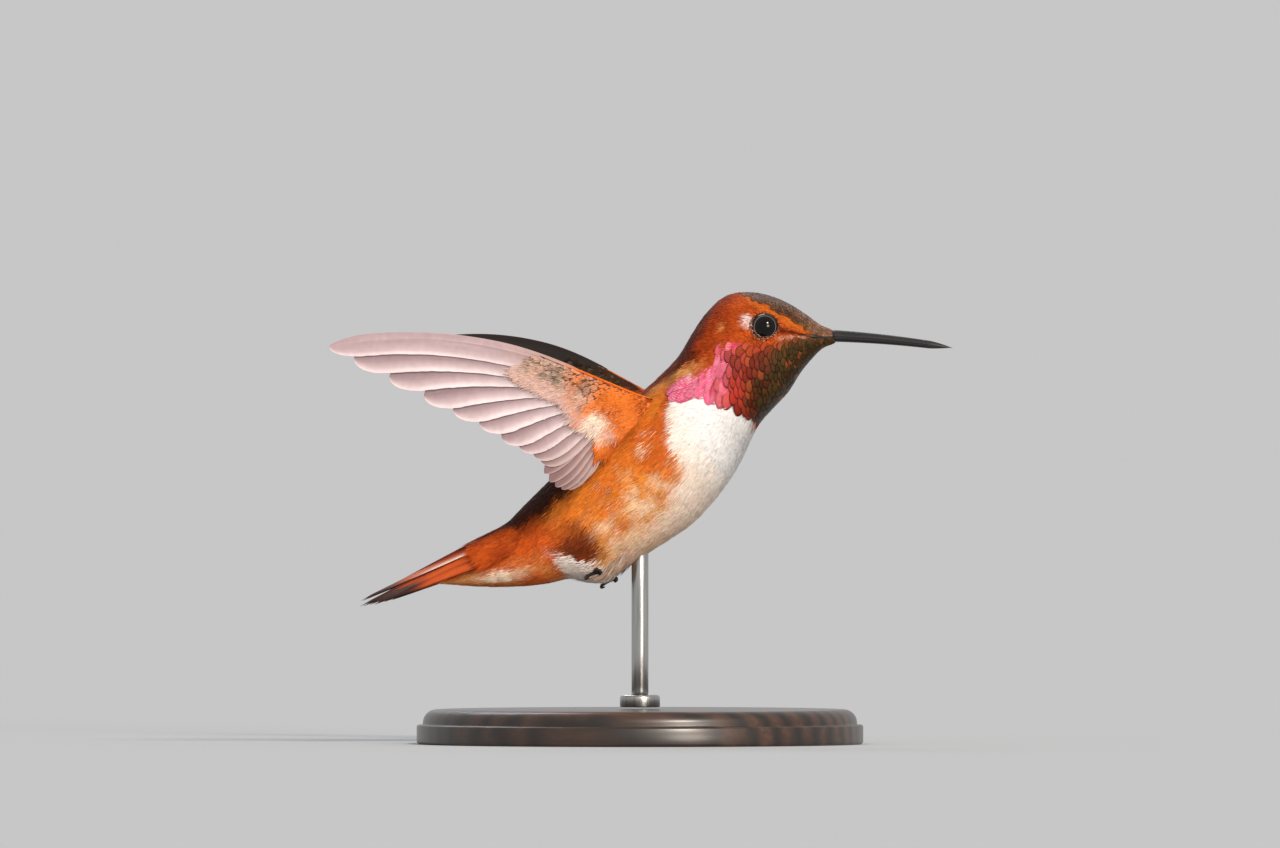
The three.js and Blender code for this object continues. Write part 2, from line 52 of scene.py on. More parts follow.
Object = bpy.types.Object
Socket = bpy.types.NodeSocket
Pair = tuple[float, float]
MM = 0.001
TURN = 2 * np.pi
SIDES = {"left": 1, "right": -1}
LOG = logging.getLogger("hummingbird")


# ------------------------------------------------------------------ colour and small maths


def linear(code: str) -> Array:
    """sRGB hex to linear RGB.

    Formula: a share up to 0.04045 is divided by 12.92, and any other is ((share + 0.055) / 1.055) to the 2.4.
    """
    share = np.array([int(code[i : i + 2], 16) for i in (0, 2, 4)]) / 255
    return np.where(share <= 0.04045, share / 12.92, ((share + 0.055) / 1.055) ** 2.4)


class Hue(Enum):
    """Plumage and bare-part colours of an adult male rufous hummingbird, as sRGB hex."""

    RUFOUS = "C2521A"
    DEEP_RUFOUS = "8A2E0C"
    ORANGE = "DC7C2A"
    GOLD = "DD9A58"
    CREAM = "F5DDC4"
    WHITE = "FAF5F1"
    PINK_WHITE = "F4DECE"
    BUFF = "E0BC9C"
    PINK_BUFF = "D2A690"
    DARK_BROWN = "2A1007"
    UMBER = "6E2E12"
    CROWN_BRONZE = "5E3C1E"
    CROWN_GREY = "86604A"
    SCALE_EDGE = "24140A"
    GORGET_PINK = "DC4A72"
    GORGET_ROSE = "DA5660"
    GORGET_CRIMSON = "D03C2C"
    GORGET_COPPER = "7C2C16"
    GORGET_OLIVE = "4E3818"
    GORGET_EMBER = "B85A2C"
    MAUVE = "C8B0B3"
    MAUVE_SHADE = "7A6268"
    MAUVE_GREY = "866258"
    VANE_EDGE = "E4D6D8"
    DUSKY = "211611"
    DUSKY_BRONZE = "4A3A26"
    COVERT_BEIGE = "C8A290"
    COVERT_GREY = "75695A"
    FLAME = "E8792A"
    TAIL_RUFOUS = "B04818"
    TAIL_TIP = "241A1A"
    BILL = "121011"
    FOOT = "16110F"
    LID = "1C1613"
    LID_EDGE = "7A746E"
    IRIS = "0C0604"
    PUPIL = "050404"

    @property
    def rgb(self) -> Array:
        """The colour as linear RGB."""
        return linear(self.value)


def ease(x: Array, low: float, high: float) -> Array:
    """0 below low and 1 above high, with 3 t^2 - 2 t^3 of the share t between them."""
    t = np.clip((np.asarray(x, float) - low) / (high - low), 0, 1)
    return t * t * (3 - 2 * t)


def fall(x: Array, low: float, high: float) -> Array:
    """1 below low and 0 above high."""
    return 1 - ease(x, low, high)


def band(x: Array, low: float, high: float, soft: float) -> Array:
    """1 between low and high and 0 outside, with edges `soft` wide to either side."""
    return ease(x, low - soft, low + soft) * fall(x, high - soft, high + soft)


def bump(x: Array, y: Array, at: Pair, reach: Pair) -> Array:
    """1 at a place and 0 past an ellipse round it, for soft patches."""
    return fall(np.hypot((x - at[0]) / reach[0], (y - at[1]) / reach[1]), 0.45, 1.0)


def blend(under: Array, over: Array, share: Array) -> Array:
    """Two sets of colours by a share at each place."""
    share = np.asarray(share, float)[..., None]
    return under * (1 - share) + over * share


def paint(tint: Array, *layers: tuple[Hue, Array]) -> Array:
    """Lays colours over others in turn, each with a weight that is cut to 0..1 at each place."""
    for hue, weight in layers:
        tint = blend(tint, hue.rgb, np.clip(weight, 0, 1))
    return tint


def ramp(x: Array, stops: Iterable[float], hues: Iterable[Hue]) -> Array:
    """Colours along x, straight between stops."""
    table = np.array([hue.rgb for hue in hues])
    return np.stack([np.interp(x, stops, table[:, i]) for i in range(3)], -1)


def steps_between(stops: Iterable[float], values: Iterable[float]) -> Callable[[Array], Array]:
    """A function that runs straight between given values at given stops."""
    return lambda x: np.interp(x, stops, values)


def grain(points: Array, size: float, seed: int) -> Array:
    """A soft random field from -1 to 1 with patches about `size` across.

    Formula: the sum of twelve sine waves of random direction, length and phase, scaled and cut to -1..1.
    """
    rng = np.random.default_rng(seed)
    way = rng.normal(size=(3, 12))
    way *= TURN / size * rng.uniform(0.35, 0.8, 12) / np.linalg.norm(way, axis=0)
    return np.clip(np.sin(points @ way + rng.uniform(0, TURN, 12)).sum(-1) / 3.2, -1, 1)


def unit(vectors: Array) -> Array:
    """Vectors of length 1."""
    return vectors / np.linalg.norm(vectors, axis=-1, keepdims=True)


def around(count: int) -> Array:
    """Angles in radians of evenly spaced places round a circle."""
    return np.linspace(0, TURN, count, endpoint=False)


# ------------------------------------------------------------------ surfaces


@dataclass
class Surface:
    """Points in mm, the quads and triangles over them, and what each point carries."""

    points: Array
    quads: Array
    tris: Array = field(default_factory=lambda: np.zeros((0, 3), int))
    tint: Optional[Array] = None
    vane: Optional[Array] = None
    bake: Optional[Array] = None
    normal: Optional[Array] = None

    def flipped(self) -> "Surface":
        """The same surface with its faces turned over."""
        return replace(self, quads=self.quads[:, ::-1], tris=self.tris[:, ::-1])

    def outward(self) -> "Surface":
        """The same closed surface with its faces out: it is flipped if its signed volume is negative."""
        a, b, c, d = (self.points[self.quads[:, i]] for i in range(4))
        e, f, g = (self.points[self.tris[:, i]] for i in range(3))
        corners = (a, b, c), (a, c, d), (e, f, g)
        volume = sum(np.einsum("ij,ij->", p, np.cross(q, r)) for p, q, r in corners)
        return self if volume > 0 else self.flipped()


def join(parts: list[Surface]) -> Surface:
    """Several surfaces as one."""
    starts = np.cumsum([0] + [len(part.points) for part in parts[:-1]])

    def carried(name: str) -> Optional[Array]:
        """One field of all parts in turn, or None where they have none."""
        rows = [getattr(part, name) for part in parts]
        return None if rows[0] is None else np.concatenate(rows)

    def faces(name: str) -> Array:
        """The faces of all parts, with their point numbers moved on."""
        return np.concatenate([getattr(part, name) + start for part, start in zip(parts, starts)])

    rest = (carried(name) for name in ("tint", "vane", "bake", "normal"))
    return Surface(carried("points"), faces("quads"), faces("tris"), *rest)


def grid(rows: int, columns: int, hoop: bool = False) -> Array:
    """Quads over rings of points.

    Args:
        rows: how many rings there are.
        columns: how many points each has. The last is joined to the first.
        hoop: whether the last ring is joined to the first too.

    Returns:
        The quads, as point numbers.
    """
    i, j = np.meshgrid(np.arange(rows if hoop else rows - 1), np.arange(columns), indexing="ij")
    here, after = i * columns, (i + 1) % rows * columns
    ahead = (j + 1) % columns
    return np.stack([here + j, here + ahead, after + ahead, after + j], -1).reshape(-1, 4)


def loft(rings: Array, tint: Optional[Array] = None, vane: Optional[Array] = None) -> Surface:
    """A closed surface through rings of points, each end shut by a fan to its middle.

    Args:
        rings: points, as (ring, place round it, xyz).
        tint: linear RGB of each point, in the same layout.
        vane: two coordinates of each point along and across a feather.

    Returns:
        The surface, its faces pointing out.
    """
    count, columns = rings.shape[:2]
    place = np.arange(columns)
    after = (place + 1) % columns
    last = (count - 1) * columns
    hub = count * columns
    first_cap = np.stack([np.full(columns, hub), after, place], -1)
    last_cap = np.stack([np.full(columns, hub + 1), last + place, last + after], -1)

    def flat(values: Optional[Array]) -> Optional[Array]:
        """Values of all rings in turn, then the mean of each end."""
        if values is None:
            return None
        ends = [values[0].mean(0, keepdims=True), values[-1].mean(0, keepdims=True)]
        return np.concatenate([values.reshape(hub, -1), *ends])

    caps = np.concatenate([first_cap, last_cap])
    return Surface(flat(rings), grid(count, columns), caps, flat(tint), flat(vane)).outward()


def ring_loft(rings: Array, tint: Array) -> Surface:
    """A closed tube whose last ring joins its first, such as a hoop."""
    quads = grid(*rings.shape[:2], hoop=True)
    return Surface(rings.reshape(-1, 3), quads, tint=tint.reshape(-1, 3)).outward()


def tube(path: Array, radius: Array, count: int, tint: Array) -> Surface:
    """A round bar along a path of points, with a radius and a colour at each of them.

    Formula: each ring is centre + radius (cos u N + sin u B), N and B square to the path's direction.
    """
    way = unit(np.gradient(path, axis=0))
    spread = np.linalg.svd(path - path.mean(0))[2][2]
    normal = unit(np.cross(way, spread))
    side = np.cross(way, normal)
    u = around(count)[None, :, None]
    rings = path[:, None] + radius[:, None, None] * (np.cos(u) * normal[:, None] + np.sin(u) * side[:, None])
    return loft(rings, np.repeat(tint[:, None], count, axis=1))


def turned(r: Array, z: Array, count: int) -> Array:
    """Rings of points about the Z axis, one for each radius and height."""
    u = around(count)
    return np.stack([r[:, None] * np.cos(u), r[:, None] * np.sin(u), z[:, None] + 0 * u], -1)


def catmull_rom(table: Array, at: Array) -> Array:
    """A smooth curve through the rows of a table, at row numbers that needn't be whole.

    Formula: a cubic between two rows whose slope at each row is half the step between its neighbours.
    """
    rows = np.vstack([2 * table[0] - table[1], table, 2 * table[-1] - table[-2]])
    at = np.asarray(at, float)
    i = np.clip(np.floor(at).astype(int), 0, len(table) - 2)
    w = (at - i)[..., None]
    p0, p1, p2, p3 = (rows[i + k] for k in range(4))
    t1, t2 = (p2 - p0) / 2, (p3 - p1) / 2
    return (2 * p1 - 2 * p2 + t1 + t2) * w**3 + (3 * p2 - 3 * p1 - 2 * t1 - t2) * w**2 + t1 * w + p1


def put_mesh(name: str, surface: Surface, material: Material) -> Object:
    """Makes a Blender object from a surface, in metres.

    Args:
        name: the piece's name.
        surface: its points, faces and what they carry. tint becomes the attribute Tint, vane the UV map
            Vane and bake the UV map OFBake.
        material: its finish.

    Returns:
        The new object, at the origin.
    """
    mesh = bpy.data.meshes.new(name)
    corners = np.concatenate([surface.quads.ravel(), surface.tris.ravel()])
    sizes = np.repeat([4, 3], [len(surface.quads), len(surface.tris)])
    mesh.vertices.add(len(surface.points))
    mesh.vertices.foreach_set("co", (surface.points * MM).astype(np.float32).ravel())
    mesh.loops.add(len(corners))
    mesh.loops.foreach_set("vertex_index", corners.astype(np.int32))
    mesh.polygons.add(len(sizes))
    mesh.polygons.foreach_set("loop_start", np.concatenate([[0], np.cumsum(sizes)[:-1]]).astype(np.int32))
    mesh.polygons.foreach_set("use_smooth", np.ones(len(sizes), bool))
    if surface.tint is not None:
        layer = mesh.color_attributes.new(name="Tint", type="FLOAT_COLOR", domain="POINT")
        colours = np.concatenate([surface.tint, np.ones((len(surface.tint), 1))], 1)
        layer.data.foreach_set("color", np.clip(colours, 0, 1).astype(np.float32).ravel())
    for title, places in (("OFBake", surface.bake), ("Vane", surface.vane)):
        if places is not None:
            layer = mesh.uv_layers.new(name=title)
            layer.data.foreach_set("uv", places[corners].astype(np.float32).ravel())
    mesh.update(calc_edges=True)
    if surface.normal is not None:
        mesh.normals_split_custom_set_from_vertices(surface.normal.astype(np.float32))
    mesh.materials.append(material)
    piece = bpy.data.objects.new(name, mesh)
    bpy.context.scene.collection.objects.link(piece)
    return piece


def report(piece: Object, slot: str, *replaced: str) -> None:
    """Makes a piece ride on the part, hides the nodes that it stands for, and logs it."""
    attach(piece, "root")
    if replaced:
        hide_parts(*replaced)
    LOG.info("%s: %d faces", piece.name, len(piece.data.polygons))


def make(name: str, surface: Surface, material: Material, slot: str, *replaced: str) -> None:
    """Makes a piece and reports it."""
    report(put_mesh(name, surface, material), slot, *replaced)


# ------------------------------------------------------------------ finishes


class Graph:
    """A node material under construction. Each method adds a node and gives one of its outputs."""

    def __init__(self, name: str) -> None:
        """Starts an empty material."""
        self.material = bpy.data.materials.new(name)
        self.material.use_nodes = True
        self.tree = self.material.node_tree
        self.tree.nodes.clear()

    def add(self, kind: str, links: dict, out: int | str = 0, **settings) -> Socket:
        """Adds a node.

        Args:
            kind: its type's name after ShaderNode.
            links: for each input, by name or number, the output that feeds it or the value that it holds.
            out: which of its outputs is wanted.
            settings: its own options.

        Returns:
            That output.
        """
        node = self.tree.nodes.new("ShaderNode" + kind)
        for option, value in settings.items():
            setattr(node, option, value)
        for key, value in links.items():
            if isinstance(value, Socket):
                self.tree.links.new(value, node.inputs[key])
            else:
                node.inputs[key].default_value = value
        return node.outputs[out] if node.outputs else None

    def tint(self) -> Socket:
        """The piece's own colour at each point."""
        return self.add("VertexColor", {}, layer_name="Tint")

    def vane(self) -> tuple[Socket, Socket]:
        """Places along and across a feather."""
        node = self.add("SeparateXYZ", {"Vector": self.add("UVMap", {}, uv_map="Vane")}).node
        return node.outputs[0], node.outputs[1]

    def noise(self, size: float, detail: float = 2.0, stretch: tuple = (1.0, 1.0, 1.0)) -> Socket:
        """Noise whose patches are `size` mm across, drawn out along axes with a stretch below 1."""
        place = self.add("Mapping", {"Vector": self.add("TexCoord", {}, "Object"), "Scale": stretch})
        return self.add("TexNoise", {"Vector": place, "Scale": 1 / (size * MM), "Detail": detail}, "Fac")

    def maths(self, operation: str, *values: Socket | float) -> Socket:
        """One sum on up to three values."""
        return self.add("Math", dict(enumerate(values)), operation=operation)

    def remap(self, value: Socket, low: float, high: float, to_low: float, to_high: Socket | float) -> Socket:
        """Carries low..high over to to_low..to_high."""
        ends = {"From Min": low, "From Max": high, "To Min": to_low, "To Max": to_high}
        return self.add("MapRange", {"Value": value, **ends})

    def scaled(self, colour: Socket, share: Socket) -> Socket:
        """A colour times a share."""
        return self.add("VectorMath", {0: colour, 1: share}, operation="MULTIPLY")

    def mixed(self, share: Socket, under: Socket | tuple, over: tuple) -> Socket:
        """Two colours by a share. The Mix node's colour inputs are 6 and 7, and its colour output is 2."""
        return self.add("Mix", {"Factor": share, 6: under, 7: over}, 2, data_type="RGBA")

    def bump(self, height: Socket, strength: float, depth: float) -> Socket:
        """Relief `depth` mm deep."""
        return self.add("Bump", {"Height": height, "Strength": strength, "Distance": depth * MM})

    def finish(self, values: dict) -> Material:
        """Ends the material with a Principled shader that takes the given values."""
        self.add("OutputMaterial", {"Surface": self.add("BsdfPrincipled", values)})
        return self.material


@dataclass(frozen=True)
class ContourPlumage:
    """Keratin barbs of body feathers: matt, with a faint sheen where they turn away, and no gloss."""

    name: str = "contour_plumage"
    patch: float = 0.5  # mm between lighter and darker places along the barbs
    roughness: float = 0.6

    def material(self) -> Material:
        """Tint, slightly varied along the barbs."""
        g = Graph(self.name)
        colour = g.scaled(g.tint(), g.remap(g.noise(self.patch, 1.0), 0, 1, 0.86, 1.16))
        look = {"Base Color": colour, "Roughness": self.roughness, "Specular IOR Level": 0.08}
        return g.finish({**look, "Sheen Weight": 0.05, "Sheen Roughness": 0.4})


@dataclass(frozen=True)
class ScaledPlumage:
    """Flat, scale-shaped feathers with barbs that run along them, and a darker rim. Those of the gorget shine
    like satin foil, because their barbules are iridescent."""

    name: str
    metallic: float
    roughness: float
    lines: float  # barbs that show across a feather, coarser than the real ones
    depth: float  # how much the barbs vary in brightness
    glint: float  # painted glint: how near to white the barbs of pink feathers come
    rim: float  # brightness at the rim
    glint_hue: tuple = (0.95, 0.66, 0.72, 1.0)

    def material(self) -> Material:
        """Tint, lines along the feather with painted glints, and a rim, from the feather's own coordinates.
        """
        g = Graph(self.name)
        along, across = g.vane()
        wave = g.maths("SINE", g.maths("MULTIPLY", across, self.lines * np.pi))
        colour = g.scaled(g.tint(), g.remap(wave, -1, 1, 1 - self.depth, 1 + self.depth))
        # painted glints: barb lines of pink feathers lighten towards white at the wave's peaks, broken up by
        # noise
        pink = g.remap(g.add("SeparateColor", {"Color": g.tint()}, "Blue"), 0.055, 0.15, 0, 1)
        broken = g.remap(g.noise(0.28, 1.0), 0.4, 0.6, 0.1, self.glint)
        share = g.maths("MULTIPLY", g.maths("MULTIPLY", pink, broken), g.remap(wave, 0.35, 0.9, 0, 1))
        colour = g.mixed(share, colour, self.glint_hue)
        end = g.add("CombineXYZ", {"X": g.remap(along, 0.42, 1.0, 0, 1), "Y": across})
        reach = g.add("VectorMath", {0: end}, 1, operation="LENGTH")
        colour = g.scaled(colour, g.remap(reach, 0.88, 0.98, 1, g.remap(pink, 0, 1, self.rim, 0.85)))
        look = {"Base Color": colour, "Metallic": self.metallic, "Roughness": self.roughness}
        return g.finish({**look, "Specular IOR Level": 0.22})


@dataclass(frozen=True)
class VanedFeather:
    """Closed vane of a flight or tail feather: satin keratin with fine slanting barbs."""

    name: str
    barb: float  # mm between barbs, several times the real spacing so that they show
    slant: float  # how far along the shaft a barb runs for each mm away from it
    depth: float
    roughness: float = 0.5

    def material(self) -> Material:
        """Tint with barb lines that meet the shaft at a slant, in colour and relief."""
        g = Graph(self.name)
        along, across = g.vane()
        back = g.maths("MULTIPLY_ADD", g.maths("ABSOLUTE", across), -self.slant, along)
        wave = g.maths("SINE", g.maths("MULTIPLY", back, TURN / self.barb))
        colour = g.scaled(g.tint(), g.remap(wave, -1, 1, 1 - self.depth, 1 + self.depth))
        colour = g.scaled(colour, g.remap(g.noise(0.9, 2.0), 0, 1, 0.85, 1.15))
        look = {"Base Color": colour, "Roughness": self.roughness, "Specular IOR Level": 0.2}
        return g.finish({**look, "Sheen Weight": 0.1, "Normal": g.bump(wave, 0.12, 0.03)})


@dataclass(frozen=True)
class TintedHide:
    """Bare or hidden skin, horn and claw: its tint, with fine pores or speckle in gloss and relief."""

    name: str
    pore: float  # mm across
    roughness: float
    relief: float
    coat: float = 0.0

    def material(self) -> Material:
        """Tint with a noise of the pore's size in roughness, colour and relief."""
        g = Graph(self.name)
        pores = g.noise(self.pore, 3.0)
        colour = g.scaled(g.tint(), g.remap(pores, 0, 1, 0.65, 1.4))
        rough = g.remap(pores, 0, 1, 0.7 * self.roughness, min(1.0, 1.4 * self.roughness))
        look = {"Base Color": colour, "Roughness": rough, "Normal": g.bump(pores, self.relief, 0.05)}
        return g.finish({**look, "Coat Weight": self.coat, "Coat Roughness": 0.15})


@dataclass(frozen=True)
class WetEye:
    """A moist cornea over a nearly black iris: the sharpest highlight on the bird."""

    name: str = "wet_eye"

    def material(self) -> Material:
        """Tint with the iris's fibres, under a smooth surface of the cornea's IOR."""
        g = Graph(self.name)
        colour = g.scaled(g.tint(), g.remap(g.noise(0.12), 0, 1, 0.7, 1.3))
        return g.finish({"Base Color": colour, "Roughness": 0.05, "IOR": 1.34})


@dataclass(frozen=True)
class StainedWalnut:
    """Turned walnut, stained dark and lacquered satin: long grain, and pores that stay darker."""

    name: str = "stained_walnut"
    dark: str = "1D130D"
    light: str = "4A3122"
    ring: float = 9.0  # mm over which three growth lines repeat
    pore: float = 0.5
    figure: float = 11.0  # mm between lighter and darker streaks of the board

    def material(self) -> Material:
        """Growth lines by a wave that noise bends, and pores stretched along the grain."""
        g = Graph(self.name)
        place = g.add("TexCoord", {}, "Object")
        bent = {"Vector": place, "Scale": 1 / (self.ring * MM), "Distortion": 7.0, "Detail": 4.0}
        growth = g.add("TexWave", {**bent, "Detail Scale": 0.7}, "Fac", bands_direction="Y")
        pores = g.noise(self.pore, 4.0, (0.08, 1.0, 1.0))
        figure = g.remap(g.noise(self.figure, 2.0, (0.15, 1.0, 1.0)), 0.35, 0.65, 0.25, 1.0)
        share = g.remap(g.maths("MULTIPLY", g.maths("MULTIPLY", growth, pores), figure), 0, 0.6, 0, 1)
        colour = g.mixed(share, (*linear(self.dark), 1.0), (*linear(self.light), 1.0))
        look = {"Base Color": colour, "Roughness": 0.38, "Normal": g.bump(pores, 0.12, 0.05)}
        return g.finish({**look, "Coat Weight": 0.35, "Coat Roughness": 0.22})


@dataclass(frozen=True)
class DrawnSteel:
    """Drawn stainless steel: fine lines along the rod that spread its highlights."""

    name: str = "drawn_steel"
    dark: str = "8E8E8C"
    light: str = "CFCFCC"
    line: float = 0.25  # mm between drawing marks

    def material(self) -> Material:
        """Metal whose roughness and colour follow marks stretched along Z."""
        g = Graph(self.name)
        marks = g.noise(self.line, 3.0, (1.0, 1.0, 0.04))
        colour = g.mixed(marks, (*linear(self.dark), 1.0), (*linear(self.light), 1.0))
        return g.finish({"Base Color": colour, "Metallic": 1.0, "Roughness": g.remap(marks, 0, 1, 0.2, 0.42)})


@dataclass(frozen=True)
class StudioPaper:
    """Matt background paper, even and without any gloss."""

    albedo: tuple
    name: str = "studio_paper"

    def material(self) -> Material:
        """One even colour that reflects nothing sharply."""
        paper = {"Base Color": (*self.albedo, 1.0), "Roughness": 1.0, "Specular IOR Level": 0.0}
        return Graph(self.name).finish(paper)


# ------------------------------------------------------------------ the body's form


def laid_flat(margin: float, *spans: tuple[Array, float, float]) -> Array:
    """Places on the bake map: for each coordinate its share of a span from a start, inside a margin."""
    share = 1 - 2 * margin
    return np.stack([margin + share * (np.asarray(x) - start) / size for x, start, size in spans], -1)


class Ground:
    """A surface that feathers grow from, with two coordinates: u towards the feather tips, and w across.
    A ground's bake_uv gives places on the bake map, from 0 to 1."""

    patch = 0.003  # width of one tuft's patch on the bake map

    def point(self, u: Array, w: Array, height: Array) -> Array:
        """Points in mm at a height above the surface."""
        raise NotImplementedError

    def metric(self, u: Array, w: Array) -> tuple[Array, Array]:
        """Millimetres per unit of u and of w."""
        return np.ones_like(u), np.ones_like(u)

    def left_handed(self, u: float, w: float) -> bool:
        """True if u, w and height form a left-handed set, so that faces need turning over."""
        step = 1e-3
        places = np.array([[u, w, 0], [u + step, w, 0], [u, w + step, 0], [u, w, step]])
        base, along, across, up = self.point(*places.T)
        return bool(np.dot(np.cross(along - base, across - base), up - base) < 0)


@dataclass(frozen=True)
class BodyForm(Ground):
    """Head, neck, trunk and tail coverts: oval sections on a bent centre line. u counts sections back from
    the bill, and w is the angle in radians from the back over the left side to the belly."""

    # x, z: centre. tilt: degrees that the top leans back. height, width, and how low the width sits.
    sections: tuple = (
        (25.5, 52.9, 10, 1.7, 1.7, 0.0),  # bill base
        (23.8, 52.9, 6, 3.1, 3.6, 0.02),  # lores
        (22.1, 52.9, 8, 5.9, 5.8, 0.06),  # forehead
        (20.2, 52.7, 10, 9.2, 8.2, 0.1),  # brow
        (18.1, 52.0, 12, 12.8, 10.4, 0.12),  # eye
        (15.8, 51.1, 12, 15.4, 11.8, 0.12),  # crown
        (13.6, 50.0, 15, 17.0, 12.4, 0.1),  # occiput
        (12.0, 48.4, 22, 16.6, 12.4, 0.08),  # nape
        (10.6, 46.2, 28, 15.9, 12.6, 0.08),  # hind neck
        (9.3, 43.8, 32, 15.6, 13.4, 0.08),  # neck base
        (7.2, 41.1, 36, 16.1, 14.8, 0.06),  # shoulder
        (4.7, 38.4, 37, 16.8, 15.8, 0.04),  # mantle
        (1.8, 35.5, 38, 17.0, 16.0, 0.04),  # back
        (-1.0, 33.2, 39, 16.5, 15.2, 0.06),  # loin
        (-3.85, 30.95, 39, 15.75, 13.8, 0.08),  # flank
        (-6.65, 28.75, 37, 15.25, 12.0, 0.08),  # vent
        (-9.1, 26.9, 36, 14.5, 10.2, 0.04),  # rump
        (-12.2, 26.1, 35, 11.3, 8.6, 0.0),  # tail base
        (-14.8, 24.8, 33, 9.5, 7.2, -0.05),  # coverts
        (-18.3, 23.85, 22, 7.4, 5.6, -0.1),  # lower coverts
        (-22.0, 22.4, 8, 3.9, 3.8, -0.1),  # covert ends
        (-25.6, 21.2, 0, 0.9, 1.4, 0.0),  # last covert
    )
    # How deep the coat is over the skin, by section number.
    depth_stops: tuple = (0, 1, 3, 5, 7, 9, 13, 17, 19, 20.3, 21)
    depths: tuple = (0.1, 0.14, 0.18, 0.24, 0.32, 0.38, 0.42, 0.4, 0.35, 0.25, 0.15)

    @property
    def last(self) -> int:
        """Number of the last section."""
        return len(self.sections) - 1

    def point(self, u: Array, w: Array, height: Array) -> Array:
        """Formula: the section's centre, plus (tall / 2 + height) cos w along its tilted upright and
        (wide / 2 + height) sin w (1 - low cos w) to the left."""
        x, z, tilt, tall, wide, low = np.moveaxis(catmull_rom(np.array(self.sections, float), u), -1, 0)
        tilt = np.radians(tilt)
        up = (tall / 2 + height) * np.cos(w)
        out = (wide / 2 + height) * np.sin(w) * (1 - low * np.cos(w))
        return np.stack([x - up * np.sin(tilt), out, z + up * np.cos(tilt)], -1)

    def metric(self, u: Array, w: Array) -> tuple[Array, Array]:
        """Lengths of small steps of u and w, over those steps."""
        step = 1e-3
        along = self.point(u + step, w, 0) - self.point(u - step, w, 0)
        across = self.point(u, w + step, 0) - self.point(u, w - step, 0)
        return tuple(np.maximum(np.linalg.norm(d, axis=-1) / (2 * step), 0.3) for d in (along, across))

    def bake_uv(self, u: Array, w: Array) -> Array:
        """The body slit along its belly and laid flat."""
        return laid_flat(0.02, ((np.asarray(w) + np.pi) % TURN, 0, TURN), (u, 0, self.last))

    def depth(self, u: Array) -> Array:
        """Depth of the coat at a section."""
        return np.interp(u, self.depth_stops, self.depths)


BODY = BodyForm()


@dataclass(frozen=True)
class EyePlace:
    """Where an eye sits and which way it looks."""

    centre: tuple = (17.0, 3.85, 54.1)
    radius: float = 1.85
    gaze: tuple = (0.16, 1.0, 0.05)
    section: float = 4.2  # the same place on the body's surface
    angle: float = 68.0

    def axes(self, side: int) -> tuple[Array, Array, Array, Array]:
        """Centre, gaze and two directions square to it, for one side."""
        flip = np.array([1, side, 1])
        gaze = unit(np.array(self.gaze) * flip)
        up = unit(np.cross(np.cross(gaze, [0, 0, 1.0]), gaze))
        return np.array(self.centre) * flip, gaze, np.cross(up, gaze), up


EYE = EyePlace()

# Lines of the plumage's pattern, as degrees from the back for each section number.
CROWN_EDGE = steps_between((0.7, 1.8, 2.7, 3.2, 3.6, 4.2, 4.7, 5.1), (80, 62, 53, 45, 38, 29, 16, 0))
GORGET_TOP = steps_between(
    (0.3, 2.1, 3.5, 4.35, 5.1, 5.7, 6.5, 7.1, 7.8, 8.0, 8.5, 9.05, 9.4, 9.75),
    (97, 92, 90, 88, 84, 78, 75, 79, 79, 72, 62, 54, 50, 49),
)
BELLY_EDGE = steps_between(
    (8, 9.6, 9.9, 10.4, 10.8, 11.7, 13.8, 15.4, 16.2), (55, 60, 74, 98, 120, 136, 144, 152, 158)
)
# The gorget's rear edge, as section numbers for each angle.
GORGET_END = steps_between(
    (48, 56, 62, 72, 88, 98, 104, 110, 123, 134, 150, 166, 180),
    (9.7, 9.75, 9.5, 9.22, 8.7, 8.5, 8.35, 8.15, 7.8, 7.45, 7.0, 6.4, 6.3),
)


# ------------------------------------------------------------------ markings: v counts sections, a is degrees


def markings(v: Array, a: Array, points: Array) -> Array:
    """Colour of the contour feathers, the same on the skin below.

    Args:
        v: section numbers.
        a: degrees from the back.
        points: the same places in mm.

    Returns:
        Linear RGB of each place.
    """
    coarse, fine = grain(points, 5.0, 1), grain(points, 1.8, 2)
    tint = ramp(v + 0.4 * fine, (17, 21), (Hue.RUFOUS, Hue.TAIL_RUFOUS))
    tint = head_colours(paint(tint, (Hue.DEEP_RUFOUS, 0.16 + 0.3 * fine + 0.15 * coarse)), v, a, fine)
    scaled = ease(a - GORGET_TOP(v), -1, 3) * fall(v - GORGET_END(a), -0.5, -0.3)
    tint = blend(tint, throat_colours(points, a), scaled)
    tint = paint(tint, (Hue.CROWN_BRONZE, ease(CROWN_EDGE(v) - a, 0, 4) * (v < 5.2)))
    tint = belly_colours(flank_colours(tint, v, a, coarse, fine), v, a, coarse, fine)
    return rear_colours(tint, v, a, coarse, fine)


def throat_colours(points: Array, a: Array, shift: Array | float = 0.0) -> Array:
    """The gorget: pink at the rear, crimson low, coppery further forward and olive under the bill. The bands
    run square to the throat's length, and a shift in mm moves a place forward."""
    ahead = points[..., 0] - (10.8 + 0.36 * (points[..., 2] - 44.7)) + shift
    hues = (Hue.GORGET_PINK, Hue.GORGET_ROSE, Hue.GORGET_CRIMSON, Hue.GORGET_COPPER, Hue.GORGET_OLIVE)
    high = ease(points[..., 2], 45.5, 49) * band(ahead, 1.6, 4.4, 0.9)
    tint = ramp(ahead, (0.8, 2.2, 3.3, 4.8, 7.2), hues)
    return paint(tint, (Hue.GORGET_COPPER, 0.75 * high), (Hue.SCALE_EDGE, 0.4 * ease(a, 146, 172)))


